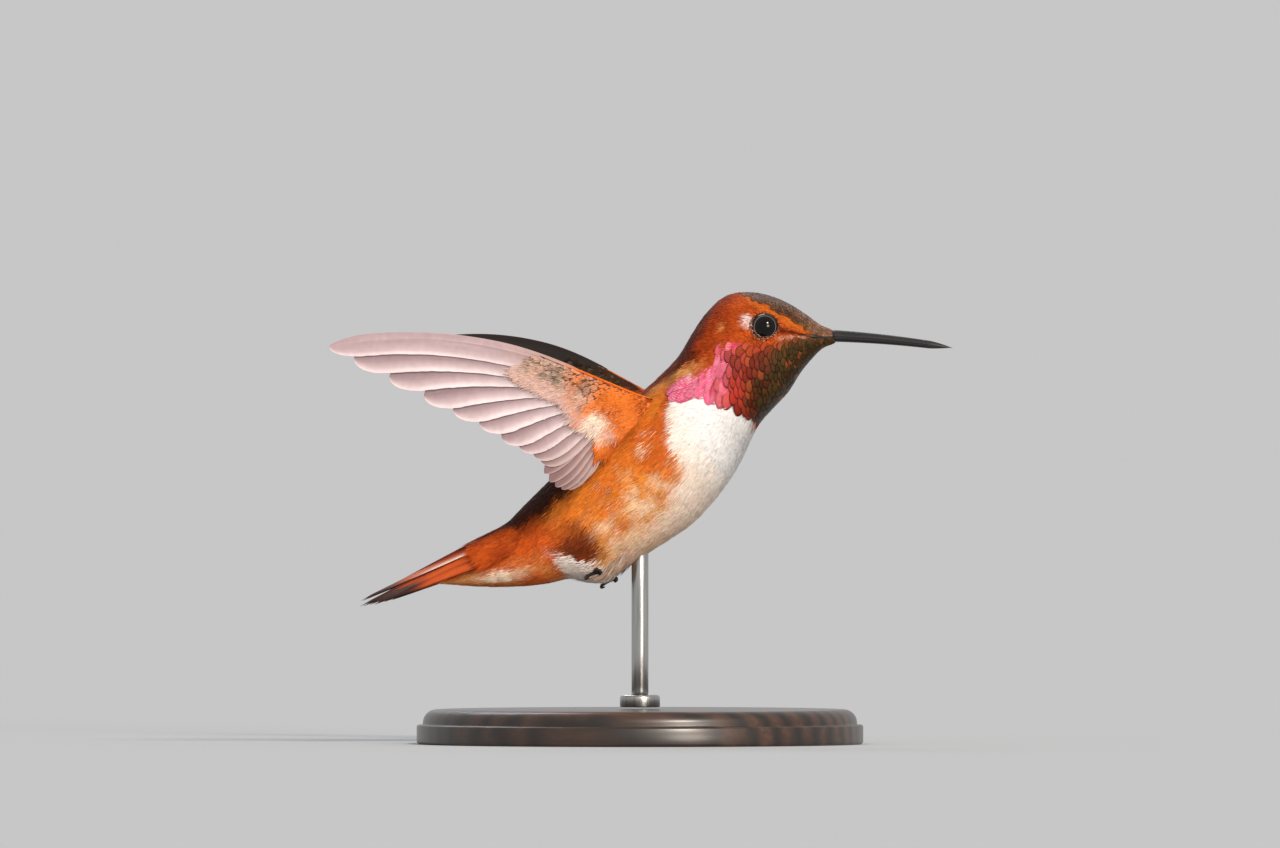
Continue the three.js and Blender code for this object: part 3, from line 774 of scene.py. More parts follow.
def head_colours(tint: Array, v: Array, a: Array, fine: Array) -> Array:
    """Orange brow and cheek, white spot behind the eye, buff streak over the gorget, painted shade on the
    nape.
    """
    jaw = a - np.interp(v, (0.7, 2.1, 3.4), (92, 84, 78))
    lores = a - np.interp(v, (0.7, 2.1, 3.4), (92, 84, 74))
    nape = band(v, 5.4, 9.6, 0.7)
    dark = np.interp(v, (5.9, 7.8), (4, 36))
    streak = bump(v, a - np.interp(v, (7.6, 9.0, 10.0), (70, 48, 34)), (8.9, 0), (1.7, 13))
    return paint(
        tint, (Hue.ORANGE, 0.4 * band(a - CROWN_EDGE(v), 1, 18, 4) * fall(v, 4.2, 5.5)),
        (Hue.CROWN_BRONZE, 0.8 * fall(v, 0.9, 2.0)),
        (Hue.PINK_BUFF, 0.6 * band(jaw, 5, 11, 2) * fall(v, 3.0, 3.8)),
        (Hue.DARK_BROWN, 0.85 * band(lores, -3, 4, 3) * fall(v, 3.2, 3.7)),
        # painted shade on the nape: deep rufous, then dark brown towards the back's line, where the neck
        # turns from the light; the umber band after it darkens the mantle to join the rump's painted shadow
        (Hue.DEEP_RUFOUS, 0.85 * nape * fall(a + 9 * fine, 46, 84)),
        (Hue.DARK_BROWN, 0.8 * nape * fall(a + 7 * fine, dark, dark + 26)),
        (Hue.UMBER, 0.75 * band(v, 8.8, 13.2, 0.8) * fall(a + 8 * fine, 18, 52)),
        (Hue.WHITE, 0.5 * bump(v, a, (4.93, 60), (0.42, 12)) * (0.85 + 0.6 * fine)),
        (Hue.GOLD, 0.4 * bump(v, a, (6.1, 57), (0.3, 7))), (Hue.GOLD, 0.85 * streak * (0.8 + 0.4 * fine)),
    )


def flank_colours(tint: Array, v: Array, a: Array, coarse: Array, fine: Array) -> Array:
    """Orange flanks that pale towards the belly, with cream mottling and a dark patch by the thigh."""
    lower = band(v, 11.0, 15.4, 0.8) * ease(a + 10 * coarse + 8 * fine, 84, 130)
    return paint(
        tint, (Hue.ORANGE, band(v, 10.0, 15.8, 0.6) * ease(a, 35, 62) * (0.62 + 0.3 * coarse)),
        (Hue.ORANGE, 0.8 * bump(v, a, (10.2, 48), (1.1, 18))), (Hue.GOLD, 0.85 * lower),
        (Hue.CREAM, 0.45 * lower * ease(fine + 0.3 * coarse, 0.0, 0.9)),
        (Hue.CREAM, 0.8 * bump(v, a, (11.0, 72), (0.55, 9)) * ease(fine, -0.3, 0.5)),
        (Hue.UMBER, 0.4 * bump(v, a, (11.3, 54), (0.8, 12))),
        (Hue.UMBER, bump(v, a + 5 * fine, (15.3, 108), (1.15, 36))),
    )


def belly_colours(tint: Array, v: Array, a: Array, coarse: Array, fine: Array) -> Array:
    """White breast below the gorget, turning pinkish buff along the belly."""
    hues = (Hue.WHITE, Hue.WHITE, Hue.PINK_WHITE, Hue.BUFF, Hue.PINK_BUFF, Hue.BUFF)
    pale = ramp(v + 0.25 * coarse, (8.3, 9.0, 10.4, 13.2, 15.0, 16.0), hues)
    edge = BELLY_EDGE(v) + 6 * fine + 7 * coarse
    under = ease(a, edge - 9, edge + 9) * ease(v, 6.0, 6.4) * ease(v - GORGET_END(a), -1.2, -0.6)
    return blend(tint, pale, under)


def rear_colours(tint: Array, v: Array, a: Array, coarse: Array, fine: Array) -> Array:
    """Painted shadow of the wings over the top of the rump, white vent, and undertail coverts of beige, cream
    and rufous.
    """
    # painted shadow of the wings: dark brown over the top of the rump
    top = band(v, 12.6, 19.3, 0.8) * fall(a + 6 * fine, np.interp(v, (13, 16, 19), (40, 46, 20)), 60)
    under = ease(v + 0.2 * fine, 16.5, 17.1) * ease(a + 7 * fine, 90, 108)
    patches = np.maximum(ease(-coarse + 0.4 * fine, 0.0, 0.5), bump(v, a, (17.6, 142), (0.8, 32)))
    vent = band(v, 15.6, 16.5, 0.25) * ease(a + 6 * fine + 26 * (v - 16.2), 98, 120)
    return paint(
        tint, (Hue.DARK_BROWN, 0.96 * top), (Hue.GOLD, 0.8 * under),
        (Hue.CREAM, 0.85 * under * bump(v, a, (18.6, 122), (1.3, 26))), (Hue.RUFOUS, 0.8 * under * patches),
        (Hue.RUFOUS, 0.7 * under * ease(a, 140, 165)), (Hue.PINK_WHITE, 0.95 * vent),
    )


def lie(v: Array, a: Array) -> Array:
    """Degrees that the lie of the feathers turns from the body's length towards the belly."""
    stops = (0, 4, 5, 6, 8, 9.6, 10.6, 13, 15, 16.5, 18, 21)
    turn = np.interp(v, stops, (0, 0, -12, -24, -34, -22, 0, 0, 10, 26, 16, 0))
    return turn * ease(a, 12, 42) * fall(a, 112, 145)


# ------------------------------------------------------------------ feathers


@dataclass(frozen=True)
class Shape:
    """One feather or barb in its own frame: share of the length, share of the half width, share of the
    thickness, and the faces over those points."""

    along: Array
    across: Array
    lift: Array
    quads: Array
    tris: Array
    soft: float  # how much rounder than the ground it is shaded


def barb_shape() -> Shape:
    """A closed, three-sided, bent spike: two triangular rings and a tip."""
    along = np.array([0, 0, 0, 0.55, 0.55, 0.55, 1.0])
    across = np.array([-1, 1, 0, -0.85, 0.85, 0, 0])
    lift = np.array([0, 0, 1, 0, 0, 0.9, 0.2])
    quads = np.array([[0, 1, 4, 3], [0, 3, 5, 2], [1, 2, 5, 4]])
    tris = np.array([[3, 4, 6], [3, 6, 5], [4, 5, 6], [0, 2, 1]])
    return Shape(along, across, lift, quads, tris, 0.55)


def scale_shape() -> Shape:
    """A closed, round-ended disc, slightly domed: a top and a bottom grid that share their border. Its width
    opens from half at the root and closes like an ellipse at the end."""
    rows = np.array([0, 0.38, 0.66, 0.84, 0.95, 1.0])
    columns = np.array([-1, -0.55, 0, 0.55, 1.0])
    widths = np.array([0.5, 0.9, 1.0, 0.86, 0.58, 0.28])
    s, c = np.meshgrid(rows, columns, indexing="ij")
    flat = widths[:, None] * c
    dome = (1 - c**2) * np.sin(np.pi * np.clip(s * 0.9 + 0.05, 0, 1))
    inner = np.zeros(s.shape, bool)
    inner[1:-1, 1:-1] = True
    top = np.arange(s.size).reshape(s.shape)
    under = top.copy()
    under[inner] = s.size + np.arange(inner.sum())

    def cells(index: Array) -> Array:
        """Quads between neighbouring rows and columns."""
        corners = [index[:-1, :-1], index[1:, :-1], index[1:, 1:], index[:-1, 1:]]
        return np.stack(corners, -1).reshape(-1, 4)

    quads = np.concatenate([cells(top), cells(under)[:, [0, 3, 2, 1]]])
    fields = (s, 1), (flat, 1), (dome, 0.35)
    s, c, dome = (np.concatenate([x.ravel(), x[inner] * share]) for x, share in fields)
    return Shape(s, c, dome, quads, np.zeros((0, 3), int), 0.3)


BARB = barb_shape()
SCALE = scale_shape()


@dataclass
class Roots:
    """Where feathers or barbs grow and how each one is shaped: one row for each, or one value for all."""

    u: Array
    w: Array
    length: Array
    width: Array | float
    heading: Array | float  # degrees from u towards w
    sink: Array | float  # how deep the root sits
    rise: Array | float  # how high the tip stands
    tint: Array
    bend: Array | float = 0.0  # sideways bow at the tip, as a share of the length
    thick: Array | float = 0.05
    cup: Array | float = 0.0  # how far the edges hang below the middle
    root_shade: float = 0.45  # painted shade: brightness at the root
    tip_tint: Optional[Array] = None
    tuft: Optional[Array] = None  # each row's place in its tuft, from -1 to 1

    def column(self, name: str) -> Array:
        """A field as a column with one value for each feather."""
        return np.broadcast_to(np.asarray(getattr(self, name), float), self.u.shape)[:, None]

    def pick(self, rows: Array) -> "Roots":
        """Some of the rows."""
        size = self.u.shape
        chosen = {name: value[rows] for name, value in vars(self).items() if np.shape(value)[:1] == size}
        return replace(self, **chosen)


def grow(ground: Ground, shape: Shape, roots: Roots, flat: float = 0.75) -> Surface:
    """Sets a copy of a shape at every root, bent over the ground.

    Formula: a point s along and c across goes to x = length s and y = width c / 2 + bend length s^2, turned
    by the heading and divided by the ground's metric. Its height is -sink + (sink + rise) s^flat, plus the
    shape's own, less cup c^2.

    Args:
        ground: the surface that they grow from.
        shape: the feather's shape.
        roots: its places and sizes.
        flat: below 1, feathers lie down sooner.

    Returns:
        All feathers as one surface, with tints, their own coordinates and places on the bake map.
    """
    s, c = shape.along[None], shape.across[None]
    length, width, bend, heading, sink, rise, thick, cup = (
        roots.column(name) for name in ("length", "width", "bend", "heading", "sink", "rise", "thick", "cup")
    )
    x = length * s
    y = width / 2 * c + bend * length * s**2
    turn = np.radians(heading)
    per_u, per_w = (m[:, None] for m in ground.metric(roots.u, roots.w))
    u = roots.u[:, None] + (x * np.cos(turn) - y * np.sin(turn)) / per_u
    w = roots.w[:, None] + (x * np.sin(turn) + y * np.cos(turn)) / per_w
    height = -sink + (sink + rise) * s**flat + thick * shape.lift[None] - cup * c**2
    points = ground.point(u, w, height)
    side = unit(points[:, 1:2] - points[:, :1])
    normal = unit(unit(ground.point(u, w, height + 0.1) - points) + shape.soft * c[..., None] * side)
    # painted shade: darker at the root, fading out along the feather
    shade = roots.root_shade + (1 - roots.root_shade) * ease(s, 0.05, 0.7)
    tint = roots.tint[:, None] * shade[..., None]
    if roots.tip_tint is not None:
        tint = blend(tint, roots.tip_tint[:, None], ease(s, 0.55, 1.0))
    count, size = x.shape
    start = size * np.arange(count)[:, None, None]
    place = c if roots.tuft is None else 0.85 * roots.tuft[:, None] + 0.15 * c
    spot = ground.bake_uv(roots.u, roots.w)[:, None]
    bake = spot + ground.patch / 2 * np.stack([2 * s - 1 + 0 * place, place + 0 * s], -1)
    surface = Surface(
        points.reshape(-1, 3), (shape.quads[None] + start).reshape(-1, 4),
        (shape.tris[None] + start).reshape(-1, 3), np.broadcast_to(tint, (count, size, 3)).reshape(-1, 3),
        np.broadcast_to(np.stack([s, c], -1), (count, size, 2)).reshape(-1, 2), bake.reshape(-1, 2),
        normal.reshape(-1, 3),
    )
    return surface.flipped() if ground.left_handed(roots.u[0], roots.w[0]) else surface


def tufted(ground: Ground, roots: Roots, barbs: int, spread: float, rng: Random) -> Roots:
    """Splits each feather into a broad vane and barbs over it, which fan out from its shaft and bow back in.

    Args:
        ground: what they grow from.
        roots: the feathers. Their width is the width of one barb.
        barbs: how many each has, the vane included.
        spread: degrees from the shaft to the outermost barb.
        rng: source of the small differences between barbs.

    Returns:
        One row for each barb.
    """
    place = np.tile(np.append(0, np.linspace(-1, 1, barbs - 1)), len(roots.u))
    vane = np.tile(np.arange(barbs) == 0, len(roots.u))
    size = len(place)

    def each(name: str) -> Array:
        """A field of the feathers, once for each barb."""
        return np.repeat(roots.column(name)[:, 0], barbs)

    long = each("length")
    length = long * (1 - 0.2 * place**2) * rng.uniform(0.82, 1.12, size) * np.where(vane, 0.85, 1)
    per_u, per_w = (np.repeat(m, barbs) for m in ground.metric(roots.u, roots.w))
    aside = 0.09 * long * place
    ahead = rng.uniform(-0.1, 0.1, size) * long
    turn = np.radians(each("heading"))
    dark = np.repeat(1 - np.clip(roots.tint.mean(-1), 0, 0.8), barbs)
    light = 1 + (rng.uniform(-0.2, 0.2, size) * dark)[:, None]
    return Roots(
        each("u") + (ahead * np.cos(turn) - aside * np.sin(turn)) / per_u,
        each("w") + (ahead * np.sin(turn) + aside * np.cos(turn)) / per_w, length,
        np.where(vane, 0.32 * length, each("width") * rng.uniform(0.8, 1.25, size)),
        each("heading") + spread * place + rng.normal(0, spread * 0.22, size), each("sink"),
        each("rise") + rng.normal(0, 0.02, size) - 0.06 * vane, np.repeat(roots.tint, barbs, axis=0) * light,
        bend=-0.0045 * spread * place + rng.normal(0, 0.05, size),
        thick=each("thick") * np.where(vane, 0.6, 1), root_shade=roots.root_shade,
        tip_tint=None if roots.tip_tint is None else np.repeat(roots.tip_tint, barbs, axis=0) * light,
        tuft=place,
    )


def scatter(
    ground: Ground, along: Pair, across: Pair, row: Callable, pitch: Callable, jitter: float, rng: Random
) -> tuple[Array, Array]:
    """Places in staggered rows over a ground.

    Args:
        ground: the surface.
        along: the range of u.
        across: the range of w.
        row: mm between rows, at each u.
        pitch: mm between places in a row, at each u.
        jitter: random shift, as a share of the pitch.
        rng: source of the shifts.

    Returns:
        The places' u and w.
    """
    us, ws = [], []
    u, width = along[0], across[1] - across[0]
    middle = np.linspace(*across, 24)
    while u < along[1]:
        per_u, per_w = (m.mean() for m in ground.metric(np.full(24, u), middle))
        count = max(2, int(round(per_w * width / float(pitch(u)))))
        w = across[0] + (np.arange(count) + 0.5 + 0.5 * (len(us) % 2)) * width / count
        shift = rng.uniform(-jitter, jitter, (2, count))
        us.append(u + shift[0] * float(row(u)) / per_u)
        ws.append(w + shift[1] * float(pitch(u)) / per_w)
        u += float(row(u)) / per_u
    return np.concatenate(us), np.concatenate(ws)


def round_body(along: Pair, row: Callable, pitch: Callable, jitter: float, rng: Random) -> tuple[Array, ...]:
    """Staggered places all round the body: their u, w from -pi to pi, and degrees from the back."""
    u, w = scatter(BODY, along, (-np.pi, np.pi), row, pitch, jitter, rng)
    w = (w + np.pi) % TURN - np.pi
    return u, w, np.degrees(np.abs(w))


def varied(tint: Array, rng: Random, light: float = 0.12, hue: float = 0.05) -> Array:
    """Makes each feather a little lighter or darker, and each of its channels a little different."""
    count = len(tint)
    dark = 1.1 - np.clip(tint.mean(-1, keepdims=True), 0, 0.9)
    grey = 1 + dark * rng.normal(0, light, (count, 1)).clip(-0.4, 0.5)
    return tint * grey * (1 + dark * rng.normal(0, hue, (count, 3)).clip(-0.2, 0.2))


def round_eye(u: Array, w: Array, reach: float = 1.5) -> tuple[Array, Array]:
    """Where places lie from the eye, and how feathers part round it.

    Formula: in mm along x and across y from the eye, at distance r, a stream round a disc of radius R runs
    along (1 - R^2 cos 2t / r^2, -R^2 sin 2t / r^2), t being the direction of (x, y).

    Args:
        u: section numbers.
        w: angles in radians.
        reach: the disc's radius R.

    Returns:
        Distance, and the stream's turn in degrees, positive towards the belly.
    """
    per_u, per_w = BODY.metric(np.array(EYE.section), np.array(np.radians(EYE.angle)))
    x = (u - EYE.section) * per_u
    y = (np.abs(w) - np.radians(EYE.angle)) * per_w
    far = np.maximum(np.hypot(x, y), 1e-6)
    ratio = (reach / np.maximum(far, reach)) ** 2
    angle = 2 * np.arctan2(y, x)
    return far, np.degrees(np.arctan2(-ratio * np.sin(angle), np.maximum(1 - ratio * np.cos(angle), 0.05)))


@dataclass
class Coat:
    """Contour feathers of head, neck, trunk and tail coverts, in pieces by region."""

    barbs: int = 7
    # Length of a feather by section number.
    stops: tuple = (0, 1, 2.5, 4, 5.5, 7, 9, 11, 15, 17.5, 20, 21)
    lengths: tuple = (0.55, 0.65, 0.8, 0.95, 1.4, 1.9, 2.5, 3.0, 3.1, 3.0, 2.4, 1.6)
    # Pieces, from the bill back: each ends at a section number.
    head: tuple = (("face", 4.0), ("crown", 5.6), ("nape", 7.6))
    body: tuple = (("neck", 9.8), ("shoulder", 12.0), ("flank", 14.4), ("rump", 16.9), ("covert", 21.1))

    def roots(self) -> Roots:
        """Soft feathers all over, apart from the gorget, the scaled crown and the eyes."""
        rng = np.random.default_rng(11)
        length_at = steps_between(self.stops, self.lengths)
        share = steps_between((0, 4, 7, 10, 21), (0.28, 0.24, 0.18, 0.155, 0.16))

        def row(at: float) -> float:
            """Distance in mm between rows."""
            return length_at(at) * share(at)

        u, w, a = round_body((0.05, 20.9), row, lambda at: row(at) * 1.1, 0.5, rng)
        far, turn = round_eye(u, w)
        in_gorget = (a > GORGET_TOP(u) + 3) & (u < GORGET_END(a) - 0.4) & (u > 0.3)
        in_crown = (a < CROWN_EDGE(u) - 4) & (u < 5.0) & (u > 0.3)
        keep = (far > 1.78) & ~in_gorget & ~in_crown
        u, w, a, far, turn = (values[keep] for values in (u, w, a, far, turn))
        count = len(u)
        length = length_at(u) * rng.uniform(0.85, 1.15, count) * (0.55 + 0.45 * ease(far, 1.9, 4.0))
        tint = varied(markings(u, a, BODY.point(u, w, 0)), rng)
        heading = (lie(u, a) + turn * fall(far, 3.0, 6.5)) * np.sign(w)
        light = ease(tint.mean(-1), 0.25, 0.6)
        often = 0.04 * ease(a, 55, 75) + 0.4 * ease(a, 80, 130)
        pale = band(u, 10.8, 15.4, 0.8) * (rng.random(count) < often)
        pale = pale * (1 - bump(u, a, (15.2, 108), (1.7, 50)))
        return Roots(
            u, w, length,
            np.interp(u, (0, 4, 8, 12, 21), (0.065, 0.085, 0.115, 0.14, 0.14)) * (1 + 0.3 * light),
            heading + rng.normal(0, 5, count), BODY.depth(u) * 0.95,
            rng.normal(0.0, 0.03, count) * np.minimum(1, length / 2), tint, thick=0.028, root_shade=0.92,
            tip_tint=paint(tint * (1.1 + 0.1 * light)[:, None], (Hue.CREAM, 0.75 * pale)),
        )

    def build(self, material: Material) -> None:
        """Makes the coat's pieces."""
        rng = np.random.default_rng(12)
        roots, start = self.roots(), -1.0
        for slot, pieces in (("head_plumage", self.head), ("body_plumage", self.body)):
            for name, end in pieces:
                part = roots.pick((roots.u >= start) & (roots.u < end))
                surface = grow(BODY, BARB, tufted(BODY, part, self.barbs, 11, rng), 0.42)
                make(f"{name}_plumage", surface, material, slot)
                start = end


@dataclass
class Gorget:
    """The iridescent throat: scale-shaped feathers that grow larger towards its rear corners."""

    stops: tuple = (0.3, 1.2, 2.5, 4, 6, 8, 10)
    widths: tuple = (0.4, 0.6, 0.92, 1.3, 1.65, 1.9, 1.6)

    def roots(self) -> Roots:
        """Rows of scales from the chin to the white breast."""
        rng = np.random.default_rng(21)
        width_at = steps_between(self.stops, self.widths)

        def row(at: float) -> float:
            """Distance in mm between rows."""
            return width_at(at) * (0.46 if at < 7.2 else 0.34)

        u, w, a = round_body((0.1, 9.6), row, lambda at: width_at(at) * 0.72, 0.12, rng)
        inside = a - GORGET_TOP(u) - 1
        corner = ease(u, 7.0, 8.4) * fall(a, 78, 96)
        sweep = np.interp(a, (50, 85, 105, 135), (-36, -30, -20, 0)) * ease(u, 3.5, 6.5)
        length = width_at(u) * (1.75 + 0.5 * corner)
        per_u, per_w = BODY.metric(u, w)
        tip = u + length * np.cos(np.radians(sweep)) / per_u
        tip_angle = a + np.degrees(length * np.sin(np.radians(sweep)) / per_w)
        ends = GORGET_END(tip_angle) + 0.12 * corner + rng.normal(0.05, 0.06, len(u))
        keep = (inside > rng.normal(0, 2, len(u))) & (tip < ends)
        u, w, a, inside, corner, sweep = (values[keep] for values in (u, w, a, inside, corner, sweep))
        count = len(u)
        tint = throat_colours(BODY.point(u, w, 0), a, rng.normal(0, 0.45, count))
        upper = fall(inside, 0, 12) * fall(u, 6.0, 7.0)
        tint = varied(tint, rng, 0.2, 0.08)
        ember = (rng.random(count) < 0.06) * (u < 6.5) * 0.5
        tint = paint(tint, (Hue.GORGET_EMBER, ember), (Hue.RUFOUS, 0.5 * upper))
        width = width_at(u) * rng.uniform(0.92, 1.12, count) * (1 - 0.35 * upper)
        return Roots(
            u, w, width * (1.75 + 0.5 * corner), width * (1.26 - 0.4 * corner),
            (sweep + rng.normal(0, 4, count)) * np.sign(w), np.minimum(0.13 * width, 0.2),
            0.02 + 0.04 * width * (0.3 + fall(GORGET_END(a) - u, 0.5, 1.3)), tint, thick=0.02 * width,
            cup=0.012 * width, root_shade=0.9,
        )

    def build(self, material: Material) -> None:
        """Makes the gorget."""
        make("gorget", grow(BODY, SCALE, self.roots(), 0.9), material, "throat_plumage")


@dataclass
class Crown:
    """The scaled strip of small bronze feathers from the bill to the top of the head."""

    stops: tuple = (0.1, 1, 2.5, 4, 6)
    widths: tuple = (0.3, 0.42, 0.6, 0.78, 0.9)

    def build(self, material: Material) -> None:
        """Makes the strip."""
        rng = np.random.default_rng(31)
        width_at = steps_between(self.stops, self.widths)
        u, w, a = round_body(
            (0.04, 6.1), lambda at: width_at(at) * 0.5, lambda at: width_at(at) * 0.76, 0.16, rng
        )
        keep = (a < CROWN_EDGE(np.maximum(u, 0.7)) + rng.normal(0, 2, len(u))) | ((u < 0.75) & (a < 92))
        u, w = u[keep], w[keep]
        width = width_at(u) * rng.uniform(0.9, 1.15, len(u))
        hues = (Hue.CROWN_GREY, Hue.CROWN_BRONZE, Hue.CROWN_BRONZE, Hue.UMBER)
        tint = ramp(u + rng.normal(0, 0.4, len(u)), (0.5, 2.3, 3.8, 5.4), hues)
        roots = Roots(
            u, w, width * 1.8, width, rng.normal(0, 4, len(u)), np.minimum(0.15 * width, 0.12),
            0.02 + 0.05 * width, varied(tint, rng, 0.28, 0.06), thick=0.03 * width, cup=0.015 * width,
            root_shade=0.7,
        )
        make("crown_scales", grow(BODY, SCALE, roots, 0.9), material, "head_plumage")


@dataclass
class Wisps:
    """Long loose feathers: the white vent, the thigh tufts over the feet and the eye's rim."""

    vent_count: int = 900
    thigh_count: int = 340
    # Rings round the eye: mm from its middle, and the share of pale feathers.
    rims: tuple = ((1.4, 0.15), (1.48, 0.3), (1.57, 0.1), (1.68, 0.4), (1.8, 0.2), (1.92, 0.1))

    def vent(self) -> Roots:
        """White down between belly and tail, long enough to hang free."""
        rng, count = np.random.default_rng(41), self.vent_count
        u = rng.uniform(15.0, 16.2, count)
        a = 182 - (182 - np.interp(u, (15, 16.2), (134, 110))) * rng.random(count) ** 0.8
        w = np.radians(a) * rng.choice([-1, 1], count)
        tint = paint(Hue.WHITE.rgb, (Hue.PINK_BUFF, rng.uniform(0, 0.5, count)))
        length, width = rng.uniform(2.3, 3.8, count), rng.uniform(0.09, 0.15, count)
        heading, rise = rng.normal(4, 12, count) * np.sign(w), rng.uniform(0.0, 0.5, count)
        bend = rng.normal(0, 0.08, count)
        return Roots(u, w, length, width, heading, 0.4, rise, tint, bend, root_shade=0.85, tip_tint=tint)

    def thighs(self) -> Roots:
        """Beige, striated tufts that run back over each foot."""
        rng, count = np.random.default_rng(42), self.thigh_count
        side = rng.choice([-1, 1], count)
        u = rng.uniform(14.4, 15.5, count)
        w = np.radians(149.5 + rng.normal(0, 2.5, count)) * side
        tint = paint(Hue.CREAM.rgb, (Hue.PINK_BUFF, rng.uniform(0, 0.9, count)))
        tint = paint(tint, (Hue.UMBER, (rng.random(count) < 0.15) * 0.6))
        length, width = rng.uniform(2.4, 3.5, count), rng.uniform(0.1, 0.16, count)
        heading, rise = rng.normal(9, 4, count) * side, rng.uniform(0.45, 0.95, count)
        bend = rng.normal(0, 0.04, count)
        look = {"thick": 0.06, "root_shade": 0.6, "tip_tint": tint}
        return Roots(u, w, length, width, heading, 0.15, rise, tint, bend, **look)

    def eye_rims(self) -> Roots:
        """Rings of tiny feathers round each eye, pale ones among dark ones."""
        rng = np.random.default_rng(43)
        per_u, per_w = BODY.metric(np.array(EYE.section), np.array(np.radians(EYE.angle)))
        us, ws, turns, tints = [], [], [], []
        for ring, pale in self.rims:
            count = int(TURN * ring / 0.1)
            for side in SIDES.values():
                t = around(count) + rng.normal(0, 0.03, count)
                us.append(EYE.section + ring * np.cos(t) / per_u)
                ws.append(side * (np.radians(EYE.angle) + ring * np.sin(t) / per_w))
                turns.append(np.degrees(t) * side)
                dark = paint(Hue.UMBER.rgb, (Hue.SCALE_EDGE, rng.uniform(0, 0.7, count)))
                chosen = rng.random(count) < pale * (1.1 + 0.4 * np.sin(t))
                tints.append(paint(dark, (Hue.CREAM, chosen * rng.uniform(0.2, 0.6, count))))
        u, w, turn, tint = (np.concatenate(rows) for rows in (us, ws, turns, tints))
        length, width = rng.uniform(0.12, 0.17, len(u)), rng.uniform(0.07, 0.1, len(u))
        rise = rng.uniform(0.0, 0.05, len(u))
        return Roots(u, w, length, width, turn, 0.02, rise, tint, thick=0.04, root_shade=0.8)

    def build(self, material: Material) -> None:
        """Makes the three kinds."""
        make("vent_down", grow(BODY, BARB, self.vent()), material, "body_plumage")
        make("thigh_tufts", grow(BODY, BARB, self.thighs()), material, "body_plumage")
        make("eye_rims", grow(BODY, BARB, self.eye_rims()), material, "head_plumage")


# ------------------------------------------------------------------ wings and tail


@dataclass(frozen=True)
class Tip:
    """How one side of a vane ends: where it starts to close, and how bluntly."""

    start: float
    round: float


@dataclass(frozen=True)
class Vane:
    """A flight or tail feather about a bowed shaft, in a flat frame of its own."""

    root: Pair
    length: float
    angle: float
    bow: float
    lead: float
    trail: float
    lean: float
    lead_tip: Tip
    trail_tip: Tip
    rows: int = 46
    root_share: float = 0.6
    open_by: float = 0.35
    half_thick: float = 0.045
    quill: float = 0.09
    limit: Optional[Callable] = None  # lowest place across the frame, at each place along it
    # Places across the vane, from the leading edge (-1) over the shaft (0) to the trailing edge (1).
    across: tuple = (-1, -0.975, -0.82, -0.5, -0.2, -0.07, 0, 0.05, 0.14, 0.4, 0.7, 0.9, 0.985, 1)

    def width(self, t: Array, tip: Tip) -> Array:
        """Share of the full width: it opens from the root, and past the tip's start it closes like a
        superellipse, (1 - s^2r)^(1 / 2r)."""
        s = np.clip((t - tip.start) / (1 - tip.start), 0, 1)
        opening = self.root_share + (1 - self.root_share) * ease(t, 0, self.open_by)
        return np.maximum(opening * (1 - s ** (2 * tip.round)) ** (1 / (2 * tip.round)), 0.02)

    def surface(self, place: Callable, colour: Callable, strip: Pair, seed: int) -> Surface:
        """The feather as a thin closed body, with its shaft as a ridge below.

        Args:
            place: maps distances along and across the frame and a height to points in mm.
            colour: maps shares along and across and whether a point is on the upper side to linear RGB.
            strip: the lowest and highest place across that the feather takes on the bake map.
            seed: for the small splits in its edge.

        Returns:
            The feather.
        """
        rng = np.random.default_rng(seed)
        t = 1 - (1 - np.linspace(0, 1, self.rows)) ** 1.35
        c = np.array(self.across)
        ring_c = np.concatenate([c, c[-2:0:-1]])
        upper = (np.arange(len(ring_c)) < len(c)) & (np.abs(ring_c) < 1)
        fray = 1 - 0.025 * rng.random(self.rows) * (t > 0.3)
        front = self.lead * self.width(t, self.lead_tip)
        rear = self.trail * self.width(t, self.trail_tip) * fray
        offset = np.where(ring_c < 0, front[:, None], rear[:, None]) * ring_c
        way = np.array([np.cos(np.radians(self.angle)), np.sin(np.radians(self.angle))])
        side = np.array([-way[1], way[0]])
        bow = (4 * self.bow * t * (1 - t))[:, None] * side
        shaft = np.array(self.root) + self.length * t[:, None] * way - bow
        flat = shaft[:, None] + offset[..., None] * side
        if self.limit is not None:
            flat[..., 1] = np.maximum(flat[..., 1], self.limit(flat[..., 0]))
        closing = (1 - 0.92 * ease(t, 0.93, 1.0))[:, None]
        half = self.half_thick * closing * (1 - ring_c**2)
        ridge = self.quill * closing * (1 - 0.75 * t)[:, None] * np.exp(-((offset / 0.13) ** 2))
        camber = 0.12 * closing * (1 - ring_c**2)
        rise = camber + np.where(upper, half + 0.3 * ridge, -half - ridge) - self.lean * offset
        share, across, above = np.broadcast_arrays(t[:, None], ring_c, upper)
        points = place(flat[..., 0], flat[..., 1], rise)
        made = loft(points, colour(share, across, above), np.stack([self.length * share, offset], -1))
        low, high = strip
        spread = np.where(above, low, (low + high) / 2) + (high - low) * 0.45 * (across + 1) / 2
        spots = np.stack([0.02 + 0.96 * share, spread], -1).reshape(-1, 2)
        made.bake = np.concatenate([spots, spots[:1], spots[-1:]])
        return made


def strip_of(n: int, count: int) -> Pair:
    """The strip of the bake map that feather n of count takes."""
    return 0.02 + 0.96 * n / count, 0.02 + 0.96 * (n + 0.95) / count


